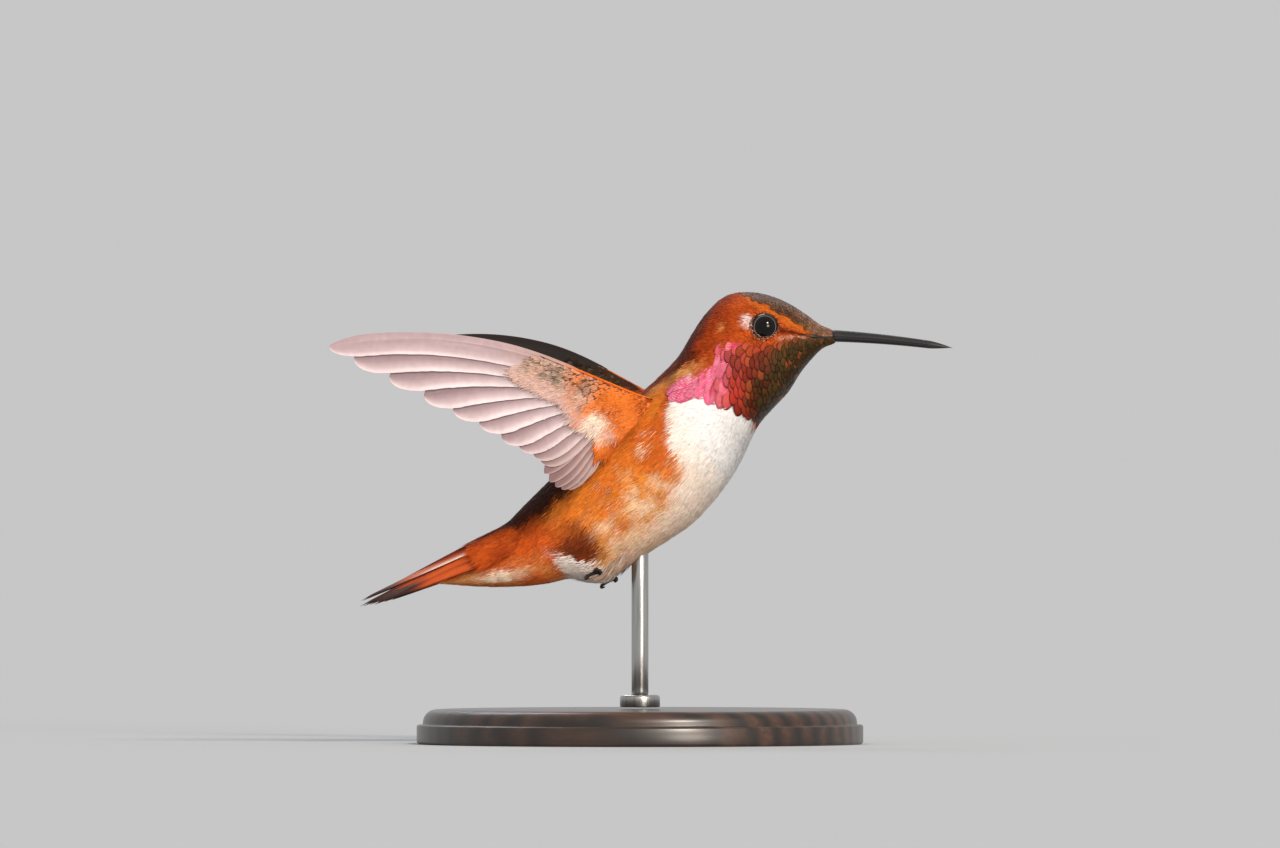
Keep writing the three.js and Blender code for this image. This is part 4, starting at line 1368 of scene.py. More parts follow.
@dataclass(frozen=True)
class Wing:
    """One wing: the plane that its feathers lie in, and everything on it."""

    side: int
    shoulder: tuple = (1.7, 6.5, 45.7)
    sweep: float = 35.5
    lift: float = 7.5
    tuck: float = 15.0
    tuck_reach: float = 24.0
    camber: float = 0.9
    chord: float = 16.0
    edge: float = -3.0
    wrist: tuple = (3.2, 0.0)
    hand_tip: tuple = (9.0, -1.0)
    elbow: tuple = (3.4, 4.0)
    lean: float = 0.08
    primary_lengths: tuple = (15.1, 15.1, 15.9, 17.2, 19.1, 21.8, 25.1, 29.4, 34.0, 36.6)
    primary_angles: tuple = (49, 45.6, 39.1, 32.4, 24.2, 17.7, 12.3, 7.1, 3.4, 1.6)
    secondary_lengths: tuple = (14.9, 14.6, 13.9, 13.0, 11.9, 10.1)
    secondary_angles: tuple = (52.7, 56.5, 60.4, 63.7, 66.5, 67.1)
    reach: float = 21.0
    arm_half: float = 0.95
    arm_tip_share: float = 0.45

    def point(self, p: Array, q: Array, r: Array) -> Array:
        """Point p along the wing, q from its leading to its trailing edge, raised by r to its upper side.

        Formula: shoulder + p line + (q cos k - rise sin k) down + (q sin k + rise cos k) inward, where the
        tuck k fades along p and the rise holds r and the camber.
        """
        sweep, lift = np.radians(self.sweep), np.radians(self.lift)
        line = np.array([-np.cos(sweep) * np.cos(lift), np.sin(sweep) * np.cos(lift), np.sin(lift)])
        inward = np.array([-np.sin(sweep), -np.cos(sweep), 0])
        down = unit(np.cross(inward, line))
        down = -down if down[2] > 0 else down
        k = np.radians(self.tuck) * fall(p, 0, self.tuck_reach)
        rise = r + self.camber * np.sin(np.pi * np.clip((q - self.edge) / self.chord, 0, 1))
        flat = (
            np.array(self.shoulder)
            + np.asarray(p)[..., None] * line
            + (q * np.cos(k) - rise * np.sin(k))[..., None] * down
            + (q * np.sin(k) + rise * np.cos(k))[..., None] * inward
        )
        return flat * np.array([1, self.side, 1])

    def mottle(self, p: Array, q: Array, size: float, seed: int) -> Array:
        """Grain over the wing that is the same on both sides of the bird."""
        return grain(self.point(p, q, 0 * p) * np.array([1, self.side, 1]), size, seed)

    def front(self, p: Array) -> Array:
        """q of the wing's leading edge along the arm and the first third of the hand."""
        return np.interp(p, (-4.5, -2.5, 1.1, 5, 9.7, 15.3, 21), (1.8, 1.0, 0.4, -0.5, -1.6, -2.65, -3.5))

    def border(self, p: Array) -> Array:
        """Lowest q of a flight feather, which keeps its vane under the coverts. It ends past the arm."""
        return self.front(p) + 0.25 - 6 * ease(p, 9, 17)

    def back(self, p: Array) -> Array:
        """q where the under coverts end, a scalloped line in life."""
        stops = (0, 4.4, 7.5, 9.7, 13.7, 16.2, 20.2, 21.5)
        return np.interp(p, stops, (7.4, 7.3, 6.6, 4.4, 3.0, 2.0, 0.4, -1.5))

    def arm_height(self, p: Array, q: Array) -> Array:
        """Half the arm's thickness: it closes at the leading edge and ends 0.42 thick at the back."""
        t = np.clip(np.asarray(p) / self.reach, 0, 1)
        half = self.arm_half * (1 + (self.arm_tip_share - 1) * t)
        x = np.clip((q - self.front(p)) / (self.back(p) - self.front(p)), 0, 1)
        return np.maximum(half * 2 * np.sqrt(x * (1 - x)) - 0.15, 0.06 + 0.36 * ease(x, 0, 0.25))

    def along_hand(self, t: float, end: Pair) -> Pair:
        """A place from the wrist towards an end, by the share t."""
        return tuple(a + (b - a) * t for a, b in zip(self.wrist, end))

    def primary(self, n: int) -> Vane:
        """Primary n, counted from 0 at the innermost."""
        t = n / (len(self.primary_lengths) - 1)
        outermost = t == 1
        length = self.primary_lengths[n]
        tips = (
            Tip(1 - (4.5 if outermost else 1.6) / length, 0.75 if outermost else 1.0),
            Tip(1 - 5.2 / length, 0.95),
        )
        size = (2.4 * t**2, 1.5 - 0.6 * t, 2.9 - 0.3 * t - 0.6 * outermost, self.lean)
        at, long = self.along_hand(t, self.hand_tip), length - 0.5 * (not outermost)
        return Vane(at, long, self.primary_angles[n], *size, *tips, limit=self.border)

    def secondary(self, n: int) -> Vane:
        """Secondary n, counted from 0 next to the innermost primary."""
        at = self.along_hand((n + 0.7) / len(self.secondary_lengths), self.elbow)
        size = (self.secondary_lengths[n], self.secondary_angles[n], 0, 1.4, 2.0, self.lean)
        return Vane(at, *size, Tip(0.7, 0.8), Tip(0.66, 0.85), rows=30, limit=self.border)

    def colour(self, grey: float, outer: float) -> Callable:
        """Flight feather colours: mauve with painted overlap shade and a pale trailing edge below, dusky
        above.

        Args:
            grey: how much greyer the feather is than the primaries, from 0 to 1.
            outer: 1 on the outermost primary, whose leading vane shows.

        Returns:
            A function of the shares along and across and the side.
        """

        def tint(t: Array, c: Array, upper: Array) -> Array:
            """The feather's colours."""
            blank = np.zeros((*t.shape, 3))
            # painted shade: darker towards the leading side, under the outer neighbour's overlapping trailing
            # edge
            hidden = ease((1 - c) / (0.28 + 0.72 * t), 0.1, 1.05) * (1 - 0.7 * outer)
            below = paint(
                blank + Hue.MAUVE.rgb, (Hue.MAUVE_GREY, grey), (Hue.MAUVE_SHADE, 0.8 * hidden),
                (Hue.MAUVE_SHADE, 0.1 + 0.15 * outer), (Hue.COVERT_BEIGE, 0.4 * fall(t, 0.1, 0.45)),
                (Hue.VANE_EDGE, (0.7 - 0.45 * grey) * ease(c, 0.6, 0.97)),
            )
            streaks = 1 + 0.05 * np.sin(23 * c + 9 * t) + 0.04 * np.sin(61 * c - 14 * t)
            # painted sheen: bronze over the upper side, stronger towards the trailing edge
            sheen, rim = 0.35 * ease(c, -0.5, 0.9), 0.7 * ease(c, 0.9, 0.98)
            above = paint(blank + Hue.DUSKY.rgb, (Hue.DUSKY_BRONZE, sheen), (Hue.MAUVE_SHADE, rim))
            return np.where(upper[..., None], above, below * streaks[..., None])

        return tint

    def primaries(self) -> Surface:
        """All primaries: the inner ones are greyer."""
        count = len(self.primary_lengths)
        colours = [self.colour(max(0.0, 0.75 - 0.2 * n), float(n == count - 1)) for n in range(count)]
        return join([
            self.primary(n).surface(self.point, colours[n], strip_of(n, count), 50 + n) for n in range(count)
        ])

    def secondaries(self) -> Surface:
        """All secondaries."""
        count = len(self.secondary_lengths)
        colour = self.colour(0.95, 0.0)
        return join([
            self.secondary(n).surface(self.point, colour, strip_of(n, count), 70 + n) for n in range(count)
        ])

    def arm(self) -> Surface:
        """The arm's skin: a lens-shaped bar from inside the shoulder to the hand."""
        p, u = np.linspace(-2.5, 16.4, 40), around(28)
        front = self.front(p) + 0.6
        rear = np.maximum(self.back(p) - 1.1, front + 0.3)
        half = self.arm_half * (1 + (self.arm_tip_share - 1) * np.clip(p / self.reach, 0, 1)) - 0.25
        half = half * (1 - 0.85 * ease(p, 12.5, 16.4))
        q = front[:, None] + (rear - front)[:, None] * (1 - np.cos(u)) / 2
        points = self.point(np.repeat(p[:, None], len(u), 1), q, half[:, None] * np.sin(u))
        beige, above = ease(p, 4, 9)[:, None] + 0 * q, 0.9 * ease(np.sin(u), -0.2, 0.0) + 0 * q
        return loft(points, paint(Hue.RUFOUS.rgb, (Hue.COVERT_BEIGE, beige), (Hue.UMBER, above)))


@dataclass(frozen=True)
class WingFace(Ground):
    """The under (-1) or upper (1) side of a wing's arm, as a ground for its coverts."""

    wing: Wing
    face: int

    def point(self, u: Array, w: Array, height: Array) -> Array:
        """The arm's surface, raised by a height away from the wing's plane."""
        return self.wing.point(u, w, self.face * (self.wing.arm_height(u, w) + height))

    def bake_uv(self, u: Array, w: Array) -> Array:
        """The wing's own plane, laid flat."""
        return laid_flat(0.05, (u, -4, 30), (w, -6, 22))


@dataclass(frozen=True)
class WingEdge(Ground):
    """A wing's rounded leading edge: u along the wing, and w the angle round the edge in radians, 0 in front
    and positive towards the upper side."""

    wing: Wing
    stops: tuple = (-1.6, 1.0, 6, 12, 15.6)
    radii: tuple = (0.05, 0.2, 0.2, 0.15, 0.04)

    def point(self, u: Array, w: Array, height: Array) -> Array:
        """Formula: a circle of the edge's radius that touches the leading edge from inside."""
        radius = np.interp(u, self.stops, self.radii)
        ahead = (radius + height) * np.cos(w)
        return self.wing.point(u, self.wing.front(u) + radius - ahead, (radius + height) * np.sin(w))

    def metric(self, u: Array, w: Array) -> tuple[Array, Array]:
        """One mm along, and the radius across."""
        return np.ones_like(u), np.interp(u, self.stops, self.radii)

    def bake_uv(self, u: Array, w: Array) -> Array:
        """The edge slit along its back and laid flat."""
        return laid_flat(0.05, (u, -3, 25), (w, -np.pi, TURN))


@dataclass
class Coverts:
    """Small feathers over one wing's arm, on both faces, and the long soft ones at its root."""

    name: str
    wing: Wing

    def places(self, rng: Random) -> tuple[Array, Array]:
        """Staggered places over the arm."""
        ground = WingFace(self.wing, -1)
        u, w = scatter(ground, (-1.5, 20.6), (-3.8, 8.5), lambda at: 0.5, lambda at: 0.5, 0.35, rng)
        front, back = self.wing.front(u), self.wing.back(u)
        end = 16.4 + 2.4 * (w - front) / (back - front)
        inside = (w > front + 0.22) & (w < back - np.interp(u, (0, 12, 19), (1.5, 1.5, 0.7))) & (u < end)
        return u[inside], w[inside]

    def rows(self, face: int) -> Roots:
        """Scale feathers of one face, each pointing between the wing's line and its trailing edge."""
        rng = np.random.default_rng(80 + face)
        u, w = self.places(rng)
        count = len(u)
        deep = (w - self.wing.front(u)) / (self.wing.back(u) - self.wing.front(u))
        heading = np.interp(u, (0, 6, 12, 20), (64, 46, 26, 8))
        heading = heading * np.interp(deep, (0, 0.4, 1), (0.25, 0.7, 1.05))
        length = np.interp(deep, (0, 0.3, 0.75, 1), (0.8, 1.3, 2.2, 2.8)) * rng.uniform(0.85, 1.15, count)
        rng.uniform(0.9, 1.1, count)  # an unused draw, which keeps the later ones as they are
        tint = (self.under if face < 0 else self.upper)(u, w, rng)
        heading = heading + rng.normal(0, 5, count)
        sink = np.minimum(0.2, 0.7 * self.wing.arm_height(u, w))
        places = (u, w, length, heading, sink, 0.02 + 0.06 * deep)
        return self.soft(places, tint, rng, (0.14, 0.03), thick=0.03, root_shade=0.7)

    @staticmethod
    def soft(places: tuple, tint: Array, rng: Random, spread: Pair, **look: float) -> Roots:
        """Barbed feathers with barbs 0.13 mm wide, whose tips are a little paler than the rest.

        Args:
            places: u, w, length, heading, sink and rise, as in Roots.
            tint: their mean colours.
            rng: source of the differences between them.
            spread: how much they differ in brightness and in hue.
            look: thick and root_shade, as in Roots.

        Returns:
            The feathers.
        """
        u, w, length, heading, sink, rise = places
        mixed = varied(tint, rng, *spread)
        return Roots(u, w, length, 0.13, heading, sink, rise, mixed, tip_tint=tint * 1.15, **look)

    def under(self, u: Array, w: Array, rng: Random) -> Array:
        """Under wing: flame-coloured leading edge, grey-olive marginal coverts, then pinkish beige."""
        coarse = self.wing.mottle(u, w, 2.6, 5)
        ahead = w - self.wing.front(u)
        grey = band(ahead, 0.6, 2.5, 0.4) * band(u, 7.5, 17, 1.6)
        grey = grey * (0.6 + 0.4 * coarse + rng.uniform(-0.45, 0.45, len(u)))
        flame = 0.6 * fall(ahead, 0.2, 0.9) * fall(u, 7, 12) * rng.random(len(u))
        flame = np.maximum(flame, fall(u + 0.3 * w + 1.6 * coarse, 5.5, 11.5))
        cream = bump(u, w, (5.2, 4.7), (2.2, 2.2))
        layers = (Hue.COVERT_GREY, grey), (Hue.FLAME, 0.9 * flame), (Hue.CREAM, cream)
        return paint(Hue.COVERT_BEIGE.rgb, *layers)

    def upper(self, u: Array, w: Array, rng: Random) -> Array:
        """Upper wing: dusky bronze, rufous at the shoulder and leading edge, with a few pale tips."""
        ahead = w - self.wing.front(u)
        return paint(
            Hue.DUSKY.rgb, (Hue.DUSKY_BRONZE, rng.uniform(0.2, 1.0, len(u))),
            (Hue.RUFOUS, 0.85 * fall(u + 0.5 * ahead, -0.5, 2.5)),
            (Hue.UMBER, 0.5 * fall(ahead, 0.3, 0.8) * fall(u, 9, 13)),
            (Hue.COVERT_GREY, 0.5 * (rng.random(len(u)) < 0.08)),
        )

    def axillars(self, face: int) -> Roots:
        """Long, soft, barbed feathers that cover where the arm leaves the body."""
        rng = np.random.default_rng(90 + face)
        u, w = rng.uniform(-2.8, 4.4, 900), rng.uniform(0.5, 8.2, 900)
        keep = (w > self.wing.front(u) + 0.3) & (w < self.wing.back(u) + (1.5 if face < 0 else -1.8))
        u, w = u[keep], w[keep]
        count = len(u)
        pale = 0.9 * (face < 0) * bump(u, w, (4.0, 4.6), (2.2, 2.2))
        base = Hue.FLAME if face < 0 else Hue.RUFOUS
        dark = 0.35 + 0.4 * self.wing.mottle(u, w, 2.2, 7)
        tint = paint(base.rgb, (Hue.DEEP_RUFOUS, dark), (Hue.CREAM, pale))
        length = rng.uniform(1.8, 2.9, count)
        heading = np.interp(w, (0, 4, 8), (20, 52, 74)) + rng.normal(0, 9, count)
        sink = np.minimum(0.45, 0.7 * self.wing.arm_height(u, w))
        places = (u, w, length, heading, sink, rng.uniform(0.0, 0.08, count))
        return self.soft(places, tint, rng, (0.12, 0.05), thick=0.028, root_shade=0.7)

    def greater(self, face: int) -> Roots:
        """The last row, of larger rounded feathers that lie over the roots of the flight feathers."""
        rng = np.random.default_rng(95 + face)
        u = np.repeat(np.arange(1.6, 18.0, 0.5), 3) + rng.uniform(-0.1, 0.1, 99)
        count = len(u)
        w = self.wing.back(u) - np.tile([3.2, 2.8, 2.4], count // 3) * np.interp(u, (0, 12, 18), (1, 1, 0.7))
        base, over = (Hue.COVERT_BEIGE, Hue.MAUVE) if face < 0 else (Hue.DUSKY, Hue.DUSKY_BRONZE)
        tint = paint(base.rgb, (over, rng.uniform(0.2, 0.8, count)))
        length = rng.uniform(2.8, 3.5, count)
        heading = np.interp(u, (0, 6, 12, 20), (66, 50, 30, 9)) + rng.normal(0, 3, count)
        places = (u, w, length, heading, 0.2, 0.02)
        return self.soft(places, tint, rng, (0.1, 0.02), thick=0.02, root_shade=0.85)

    @staticmethod
    def edge_colours(u: Array, w: Array) -> Array:
        """Flame in front and below, dusky above, and beige past the wrist."""
        return paint(
            Hue.FLAME.rgb, (Hue.RUFOUS, 0.3 + 0.4 * ease(-w, 0.5, 1.5)),
            (Hue.COVERT_BEIGE, 0.9 * ease(u, 8, 13.5)),
            (Hue.DUSKY, 0.9 * ease(w, 0.5, 1.1) * ease(u, 1.5, 4)),
        )

    def edge(self, material: Material) -> None:
        """Makes the wing's rounded leading edge, under short barbs that lie along it."""
        rng, count = np.random.default_rng(97), 3000
        ground = WingEdge(self.wing)
        turn = np.linspace(-np.pi, np.pi, 20, endpoint=False)
        p, turn = np.meshgrid(np.linspace(-1.6, 15.6, 60), turn, indexing="ij")
        roll = loft(ground.point(p, turn, -0.03 + 0 * p), 0.7 * self.edge_colours(p, turn))
        spots = ground.bake_uv(p, turn).reshape(-1, 2)
        roll.bake = np.concatenate([spots, spots[:1], spots[-1:]])
        u, w = rng.uniform(-1.4, 15.0, count), rng.uniform(-2.4, 2.4, count)
        length, heading = rng.uniform(0.6, 0.9, count), rng.normal(0, 5, count)
        rise = rng.uniform(-0.01, 0.02, count)
        tint = varied(self.edge_colours(u, w), rng, 0.14, 0.03)
        roots = Roots(u, w, length, 0.1, heading, 0.05, rise, tint, thick=0.02, root_shade=0.85)
        make(f"edge_barbs_{self.name}", grow(ground, BARB, roots), material, "wing_coverts")
        make(f"edge_roll_{self.name}", roll, material, "wing_coverts")

    def build(self, material: Material) -> None:
        """Makes the coverts of both faces, the axillars and the leading edge."""
        rng = np.random.default_rng(99)
        kinds = (
            ("greater_coverts", self.greater, 10, 9), ("coverts", self.rows, 7, 12),
            ("axillars", self.axillars, 6, 12),
        )
        for title, face in (("under", -1), ("upper", 1)):
            ground = WingFace(self.wing, face)
            for kind, roots, barbs, spread in kinds:
                surface = grow(ground, BARB, tufted(ground, roots(face), barbs, spread, rng), 0.5)
                make(f"{title}_{kind}_{self.name}", surface, material, "wing_coverts")
        self.edge(material)


def build_wings(vane: Material, soft: Material) -> None:
    """Makes both wings' flight feathers and coverts."""
    for name, side in SIDES.items():
        wing = Wing(side)
        make(f"primaries_{name}", wing.primaries(), vane, "flight_feathers", f"wing_primaries_{name}")
        make(f"secondaries_{name}", wing.secondaries(), vane, "flight_feathers", f"wing_secondaries_{name}")
        Coverts(name, wing).build(soft)


@dataclass(frozen=True)
class TailArch(Ground):
    """The folded tail's upper surface near its root: u in mm from the root, w the angle in radians from the
    middle, over an arch."""

    root: tuple = (-11.5, 31.0)
    slope: float = 25.4
    half_width: float = 3.45
    rise: float = 3.0

    def point(self, u: Array, w: Array, height: Array) -> Array:
        """Formula: the root plus u along the tail's line, plus (height + rise) cos w - rise + 0.3 upwards
        and (half width + height) sin w sideways."""
        slope = np.radians(self.slope)
        up = 0.3 - self.rise * (1 - np.cos(w)) + height * np.cos(w)
        x = self.root[0] - u * np.cos(slope) - up * np.sin(slope)
        z = self.root[1] - u * np.sin(slope) + up * np.cos(slope)
        return np.stack([x, (self.half_width + height) * np.sin(w) + 0 * u, z], -1)

    def metric(self, u: Array, w: Array) -> tuple[Array, Array]:
        """One mm along, and about the arch's radius across."""
        return np.ones_like(u), np.full_like(u, 3.3)

    def bake_uv(self, u: Array, w: Array) -> Array:
        """The arch laid flat."""
        return laid_flat(0.1, (w, -2, 4), (u, 0, 20))


@dataclass
class TailCoverts:
    """Upper tail coverts: long soft feathers over the roots of the tail."""

    ground: TailArch = TailArch()
    count: int = 1500

    def build(self, material: Material) -> None:
        """Makes the coverts."""
        rng, count = np.random.default_rng(61), self.count
        u, w = rng.uniform(1.5, 9.0, count), rng.uniform(-1.75, 1.75, count)
        mottle = 0.35 + 0.4 * grain(self.ground.point(u, w, 0 * u), 1.6, 8)
        # painted shade: dark brown along the middle, carrying the rump's painted shadow onto the coverts
        middle = 0.85 * fall(np.abs(w) + 0.04 * u, 0.5, 1.0)
        tint = paint(Hue.RUFOUS.rgb, (Hue.DEEP_RUFOUS, mottle), (Hue.DARK_BROWN, middle))
        length, heading = rng.uniform(3.0, 4.6, count), rng.normal(0, 4, count)
        rise = rng.uniform(0.0, 0.12, count)
        look = {"thick": 0.028, "root_shade": 0.7, "tip_tint": tint * 1.15}
        roots = Roots(u, w, length, 0.11, heading, 0.4, rise, varied(tint, rng), **look)
        surface = grow(self.ground, BARB, tufted(self.ground, roots, 6, 7, rng), 0.5)
        make("upper_tail_coverts", surface, material, "body_plumage")


@dataclass
class Tail:
    """Rectrices folded like a roof: R1 at the middle to R5."""

    root: tuple = (-11.5, 31.0)
    slope: float = 25.4
    lengths: tuple = (28.0, 28.3, 27.0, 25.8, 24.8)
    spread: tuple = (0.8, 1.4, 1.9, 2.3, 2.6)
    drop: tuple = (0.45, 1.1, 1.5, 1.7, 1.9)
    root_drop: float = 1.2
    roof: tuple = (18, 32, 44, 54, 62)
    half_widths: tuple = (2.5, 2.2, 2.0, 1.8, 1.7)

    def place(self, n: int, side: int) -> Callable:
        """Maps a feather's frame to space: along the tail's line, with its vane sloping off sideways."""
        slope, roof = np.radians(self.slope), np.radians(self.roof[n])
        line = np.array([-np.cos(slope), 0, -np.sin(slope)])
        up = np.array([-np.sin(slope), 0, np.cos(slope)])

        def point(along: Array, across: Array, rise: Array) -> Array:
            """The same places in mm."""
            share = along / self.lengths[n]
            flat = across * np.cos(roof) + rise * np.sin(roof)
            high = rise * np.cos(roof) - across * np.sin(roof)
            high = high - self.drop[n] * (self.root_drop + (1 - self.root_drop) * share)
            start = np.array([self.root[0], 0, self.root[1]])
            spot = start + along[..., None] * line + high[..., None] * up
            spot[..., 1] = side * (self.spread[n] + flat)
            return spot

        return point

    @staticmethod
    def colour(n: int) -> Callable:
        """Rufous vanes with streaks along them, a painted highlight in cream on the middle one's outer edge,
        and a dusky point.
        """

        def tint(t: Array, c: Array, upper: Array) -> Array:
            """The feather's colours."""
            off = np.abs(c)
            return paint(
                Hue.TAIL_RUFOUS.rgb, (Hue.RUFOUS, 0.45 + 0.35 * np.sin(37 * c + 5 * t + n)),
                (Hue.DEEP_RUFOUS, 0.6 * fall(off, 0.03, 0.2)), (Hue.DEEP_RUFOUS, 0.6 * ease(off, 0.8, 0.95)),
                # painted highlight: a cream streak along the middle part of the middle feather's outer edge
                (Hue.CREAM, 0.8 * (ease(c, 0.6, 0.8) * (n == 0) * band(t, 0.3, 0.68, 0.1))),
                (Hue.TAIL_TIP, ease(t - 0.05 * off, 0.7, 0.84) * 0.95),
            )

        return tint

    def feather(self, n: int, side: int) -> Surface:
        """Rectrix n of one side."""
        half, tip = self.half_widths[n], Tip(0.3, 0.55)
        shape = Vane((0, 0), self.lengths[n], 0, 0, half, half, 0, tip, tip, rows=40)
        strip = (0.02 + 0.19 * n, 0.02 + 0.19 * (n + 0.95))
        return shape.surface(self.place(n, side), self.colour(n), strip, 60 + n)

    def build(self, vane: Material) -> None:
        """Makes each half of the tail."""
        for name, side in SIDES.items():
            half = join([self.feather(n, side) for n in range(len(self.lengths))])
            make(f"rectrices_{name}", half, vane, "tail_feathers", f"tail_feathers_{name}")


# ------------------------------------------------------------------ skin, eyes, bill, feet


@dataclass
class Skin:
    """One skin over head, neck, trunk, tail coverts and both arms, under the coat."""

    lengthwise: int = 150
    columns: int = 96
    socket: float = 2.3  # radius within which the skin sinks towards the eye
    flesh: tuple = ("head", "neck", "trunk", "tail_coverts", "wing_arm_left", "wing_arm_right")

    def body(self) -> Surface:
        """The body's form, drawn in by the coat's depth and sunk round the eyes."""
        v = np.linspace(0, BODY.last - 0.3, self.lengthwise)
        w = np.linspace(-np.pi, np.pi, self.columns, endpoint=False)
        u, w = np.meshgrid(v, w, indexing="ij")
        inset = BODY.depth(u) + 0.45 * fall(round_eye(u, w)[0], 1.2, self.socket)
        points = BODY.point(u, w, -inset)
        return loft(points, 0.9 * markings(u, np.degrees(np.abs(w)), points))

    def build(self, material: Material) -> None:
        """Makes the skin: the body joined to both arms by a boolean union, so that no seam is left."""
        skin = put_mesh("skin", self.body(), material)
        for name, side in SIDES.items():
            arm = put_mesh(f"arm_{name}", Wing(side).arm(), material)
            union = skin.modifiers.new(arm.name, "BOOLEAN")
            union.operation, union.object, union.solver = "UNION", arm, "EXACT"
            bpy.context.view_layer.update()
            whole = bpy.data.meshes.new_from_object(skin.evaluated_get(bpy.context.evaluated_depsgraph_get()))
            skin.modifiers.clear()
            skin.data = whole
            bpy.data.objects.remove(arm)
        report(skin, "body_plumage", *self.flesh)


@dataclass
class Eyes:
    """Both eyeballs with cornea, iris and pupil, and the lids round them."""

    rings: int = 40
    columns: int = 64
    pupil: float = 24.0  # degrees from the gaze
    iris: float = 44.0
    # The lid's section: degrees from the gaze and mm above the eyeball.
    lid: tuple = (
        (48, 0.0), (46.8, 0.02), (47.2, 0.05), (48.6, 0.06), (52, 0.02), (60, -0.06), (76, -0.25), (58, -0.1)
    )

    def hoops(self, side: int, angle: Array, radius: Array) -> Array:
        """Rings round the gaze: at each angle from it and distance from the eye's centre."""
        centre, gaze, across, up = EYE.axes(side)
        t = around(self.columns)
        out = np.cos(t)[:, None] * across + np.sin(t)[:, None] * up
        angle = np.radians(angle)[:, None, None]
        return centre + radius[:, None, None] * (np.cos(angle) * gaze + np.sin(angle) * out[None])

    def shades(self, x: Array, stops: tuple, *hues: Hue) -> Array:
        """A ramp of colours over the rings."""
        return np.repeat(ramp(x, stops, hues)[:, None], self.columns, 1)

    def build(self, wet: Material, bare: Material) -> None:
        """Makes eyeballs and lids."""
        angle = np.linspace(1.0, 178.0, self.rings)
        radius = EYE.radius + 0.05 * fall(angle, 20, 46)
        edges = (self.pupil - 1, self.pupil + 1, self.iris, self.iris + 2)
        tint = self.shades(angle, edges, Hue.PUPIL, Hue.IRIS, Hue.IRIS, Hue.PUPIL)
        turn, high = np.array(self.lid).T
        lid_hues = (Hue.LID_EDGE, Hue.LID_EDGE, Hue.LID, Hue.LID)
        shade = self.shades(turn + 40 * (high < 0), (46, 47.2, 48.4, 50), *lid_hues)
        for name, side in SIDES.items():
            make(f"eyeball_{name}", loft(self.hoops(side, angle, radius), tint), wet, "eye", f"eye_{name}")
            lid = ring_loft(self.hoops(side, turn, EYE.radius + high), shade)
            make(f"eyelids_{name}", lid, bare, "head_plumage")


@dataclass
class Bill:
    """The long straight bill: two mandibles that meet along a fine gape, the upper one with a low ridge."""

    root: tuple = (25.8, 52.95)
    length: float = 15.2
    drop: float = 0.75
    curve: float = 0.8
    depth: float = 1.5
    width: float = 1.5
    taper: float = 0.4
    point_from: float = 0.8
    point_loss: float = 0.93
    point_round: float = 1.6
    upper_share: float = 0.58
    slit: float = -0.02  # the mandibles meet: a groove along the edges shows where
    lower_short: float = 0.3
    buried: float = 1.2  # how far the bill runs back under the face's feathers
    gape: tuple = ((0.0, 95.0), (0.7, 94.0), (1.4, 90.0), (2.15, 86.5))  # section numbers and degrees

    def half(self, upper: bool) -> Surface:
        """One mandible: half an ellipse, flat where it meets the other, with a groove by the nostril."""
        length = self.length - (0 if upper else self.lower_short)
        t = np.concatenate([[-self.buried / length], np.sin(np.linspace(0, np.pi / 2, 60))])
        x = length * t
        along = np.maximum(x / self.length, -0.1)
        past = np.clip((t - self.point_from) / (1 - self.point_from), 0, 1)
        size = (1 - self.taper * np.maximum(t, 0)) * (1 - self.point_loss * past**self.point_round)
        seam = self.root[1] - self.drop * along - self.curve * np.maximum(along, 0) ** 2
        middle = seam + self.depth * (0.5 - self.upper_share) * size
        share, way = (self.upper_share, 1) if upper else (1 - self.upper_share, -1)
        u = np.pi * (0.5 - 0.5 * np.cos(np.linspace(0, np.pi, 29)))
        off = u - np.pi / 2
        ridge = upper * 0.05 * np.exp(-((off / 0.22) ** 2))
        flare = 0.05 * np.cos(2 * u) * fall(t, 0.0, 0.25)[:, None]
        nostril = np.exp(-(((np.abs(off) - 0.85) / 0.16) ** 2))
        groove = upper * band(t, 0.02, 0.2, 0.02)[:, None] * 0.07 * nostril
        seam_cut = 0.09 * fall(np.sin(u), 0.03, 0.13)
        y = self.width / 2 * size[:, None] * (1 + flare - groove - seam_cut) * np.cos(u)
        z = self.depth * share * size[:, None] * (np.sin(u) + ridge - groove) + self.slit / 2
        points = np.stack([self.root[0] + x[:, None] + 0 * y, y, middle[:, None] + way * z], -1)
        light = (1 + 0.8 * fall(t, 0, 0.12))[:, None, None]
        return loft(points, np.broadcast_to(Hue.BILL.rgb, points.shape) * light)

    def corners(self) -> Surface:
        """The bare corners of the mouth, which run back below the lores."""
        s = np.linspace(0, 1, 24)
        v, a = catmull_rom(np.array(self.gape), np.linspace(0, len(self.gape) - 1, len(s))).T
        radius = np.interp(s, (0, 0.4, 0.62, 0.72, 0.8, 1), (0.12, 0.14, 0.24, 0.22, 0.09, 0.03))
        tint = np.tile(Hue.BILL.rgb * 0.6, (len(s), 1))
        paths = [BODY.point(v, side * np.radians(a), -0.02) for side in SIDES.values()]
        return join([tube(path, radius, 10, tint) for path in paths])

    def build(self, horn: Material) -> None:
        """Makes both mandibles and the mouth's corners."""
        make("upper_mandible", self.half(True), horn, "bill_horn", "bill_upper")
        make("lower_mandible", self.half(False), horn, "bill_horn", "bill_lower")
        make("mouth_corners", self.corners(), horn, "bill_horn")


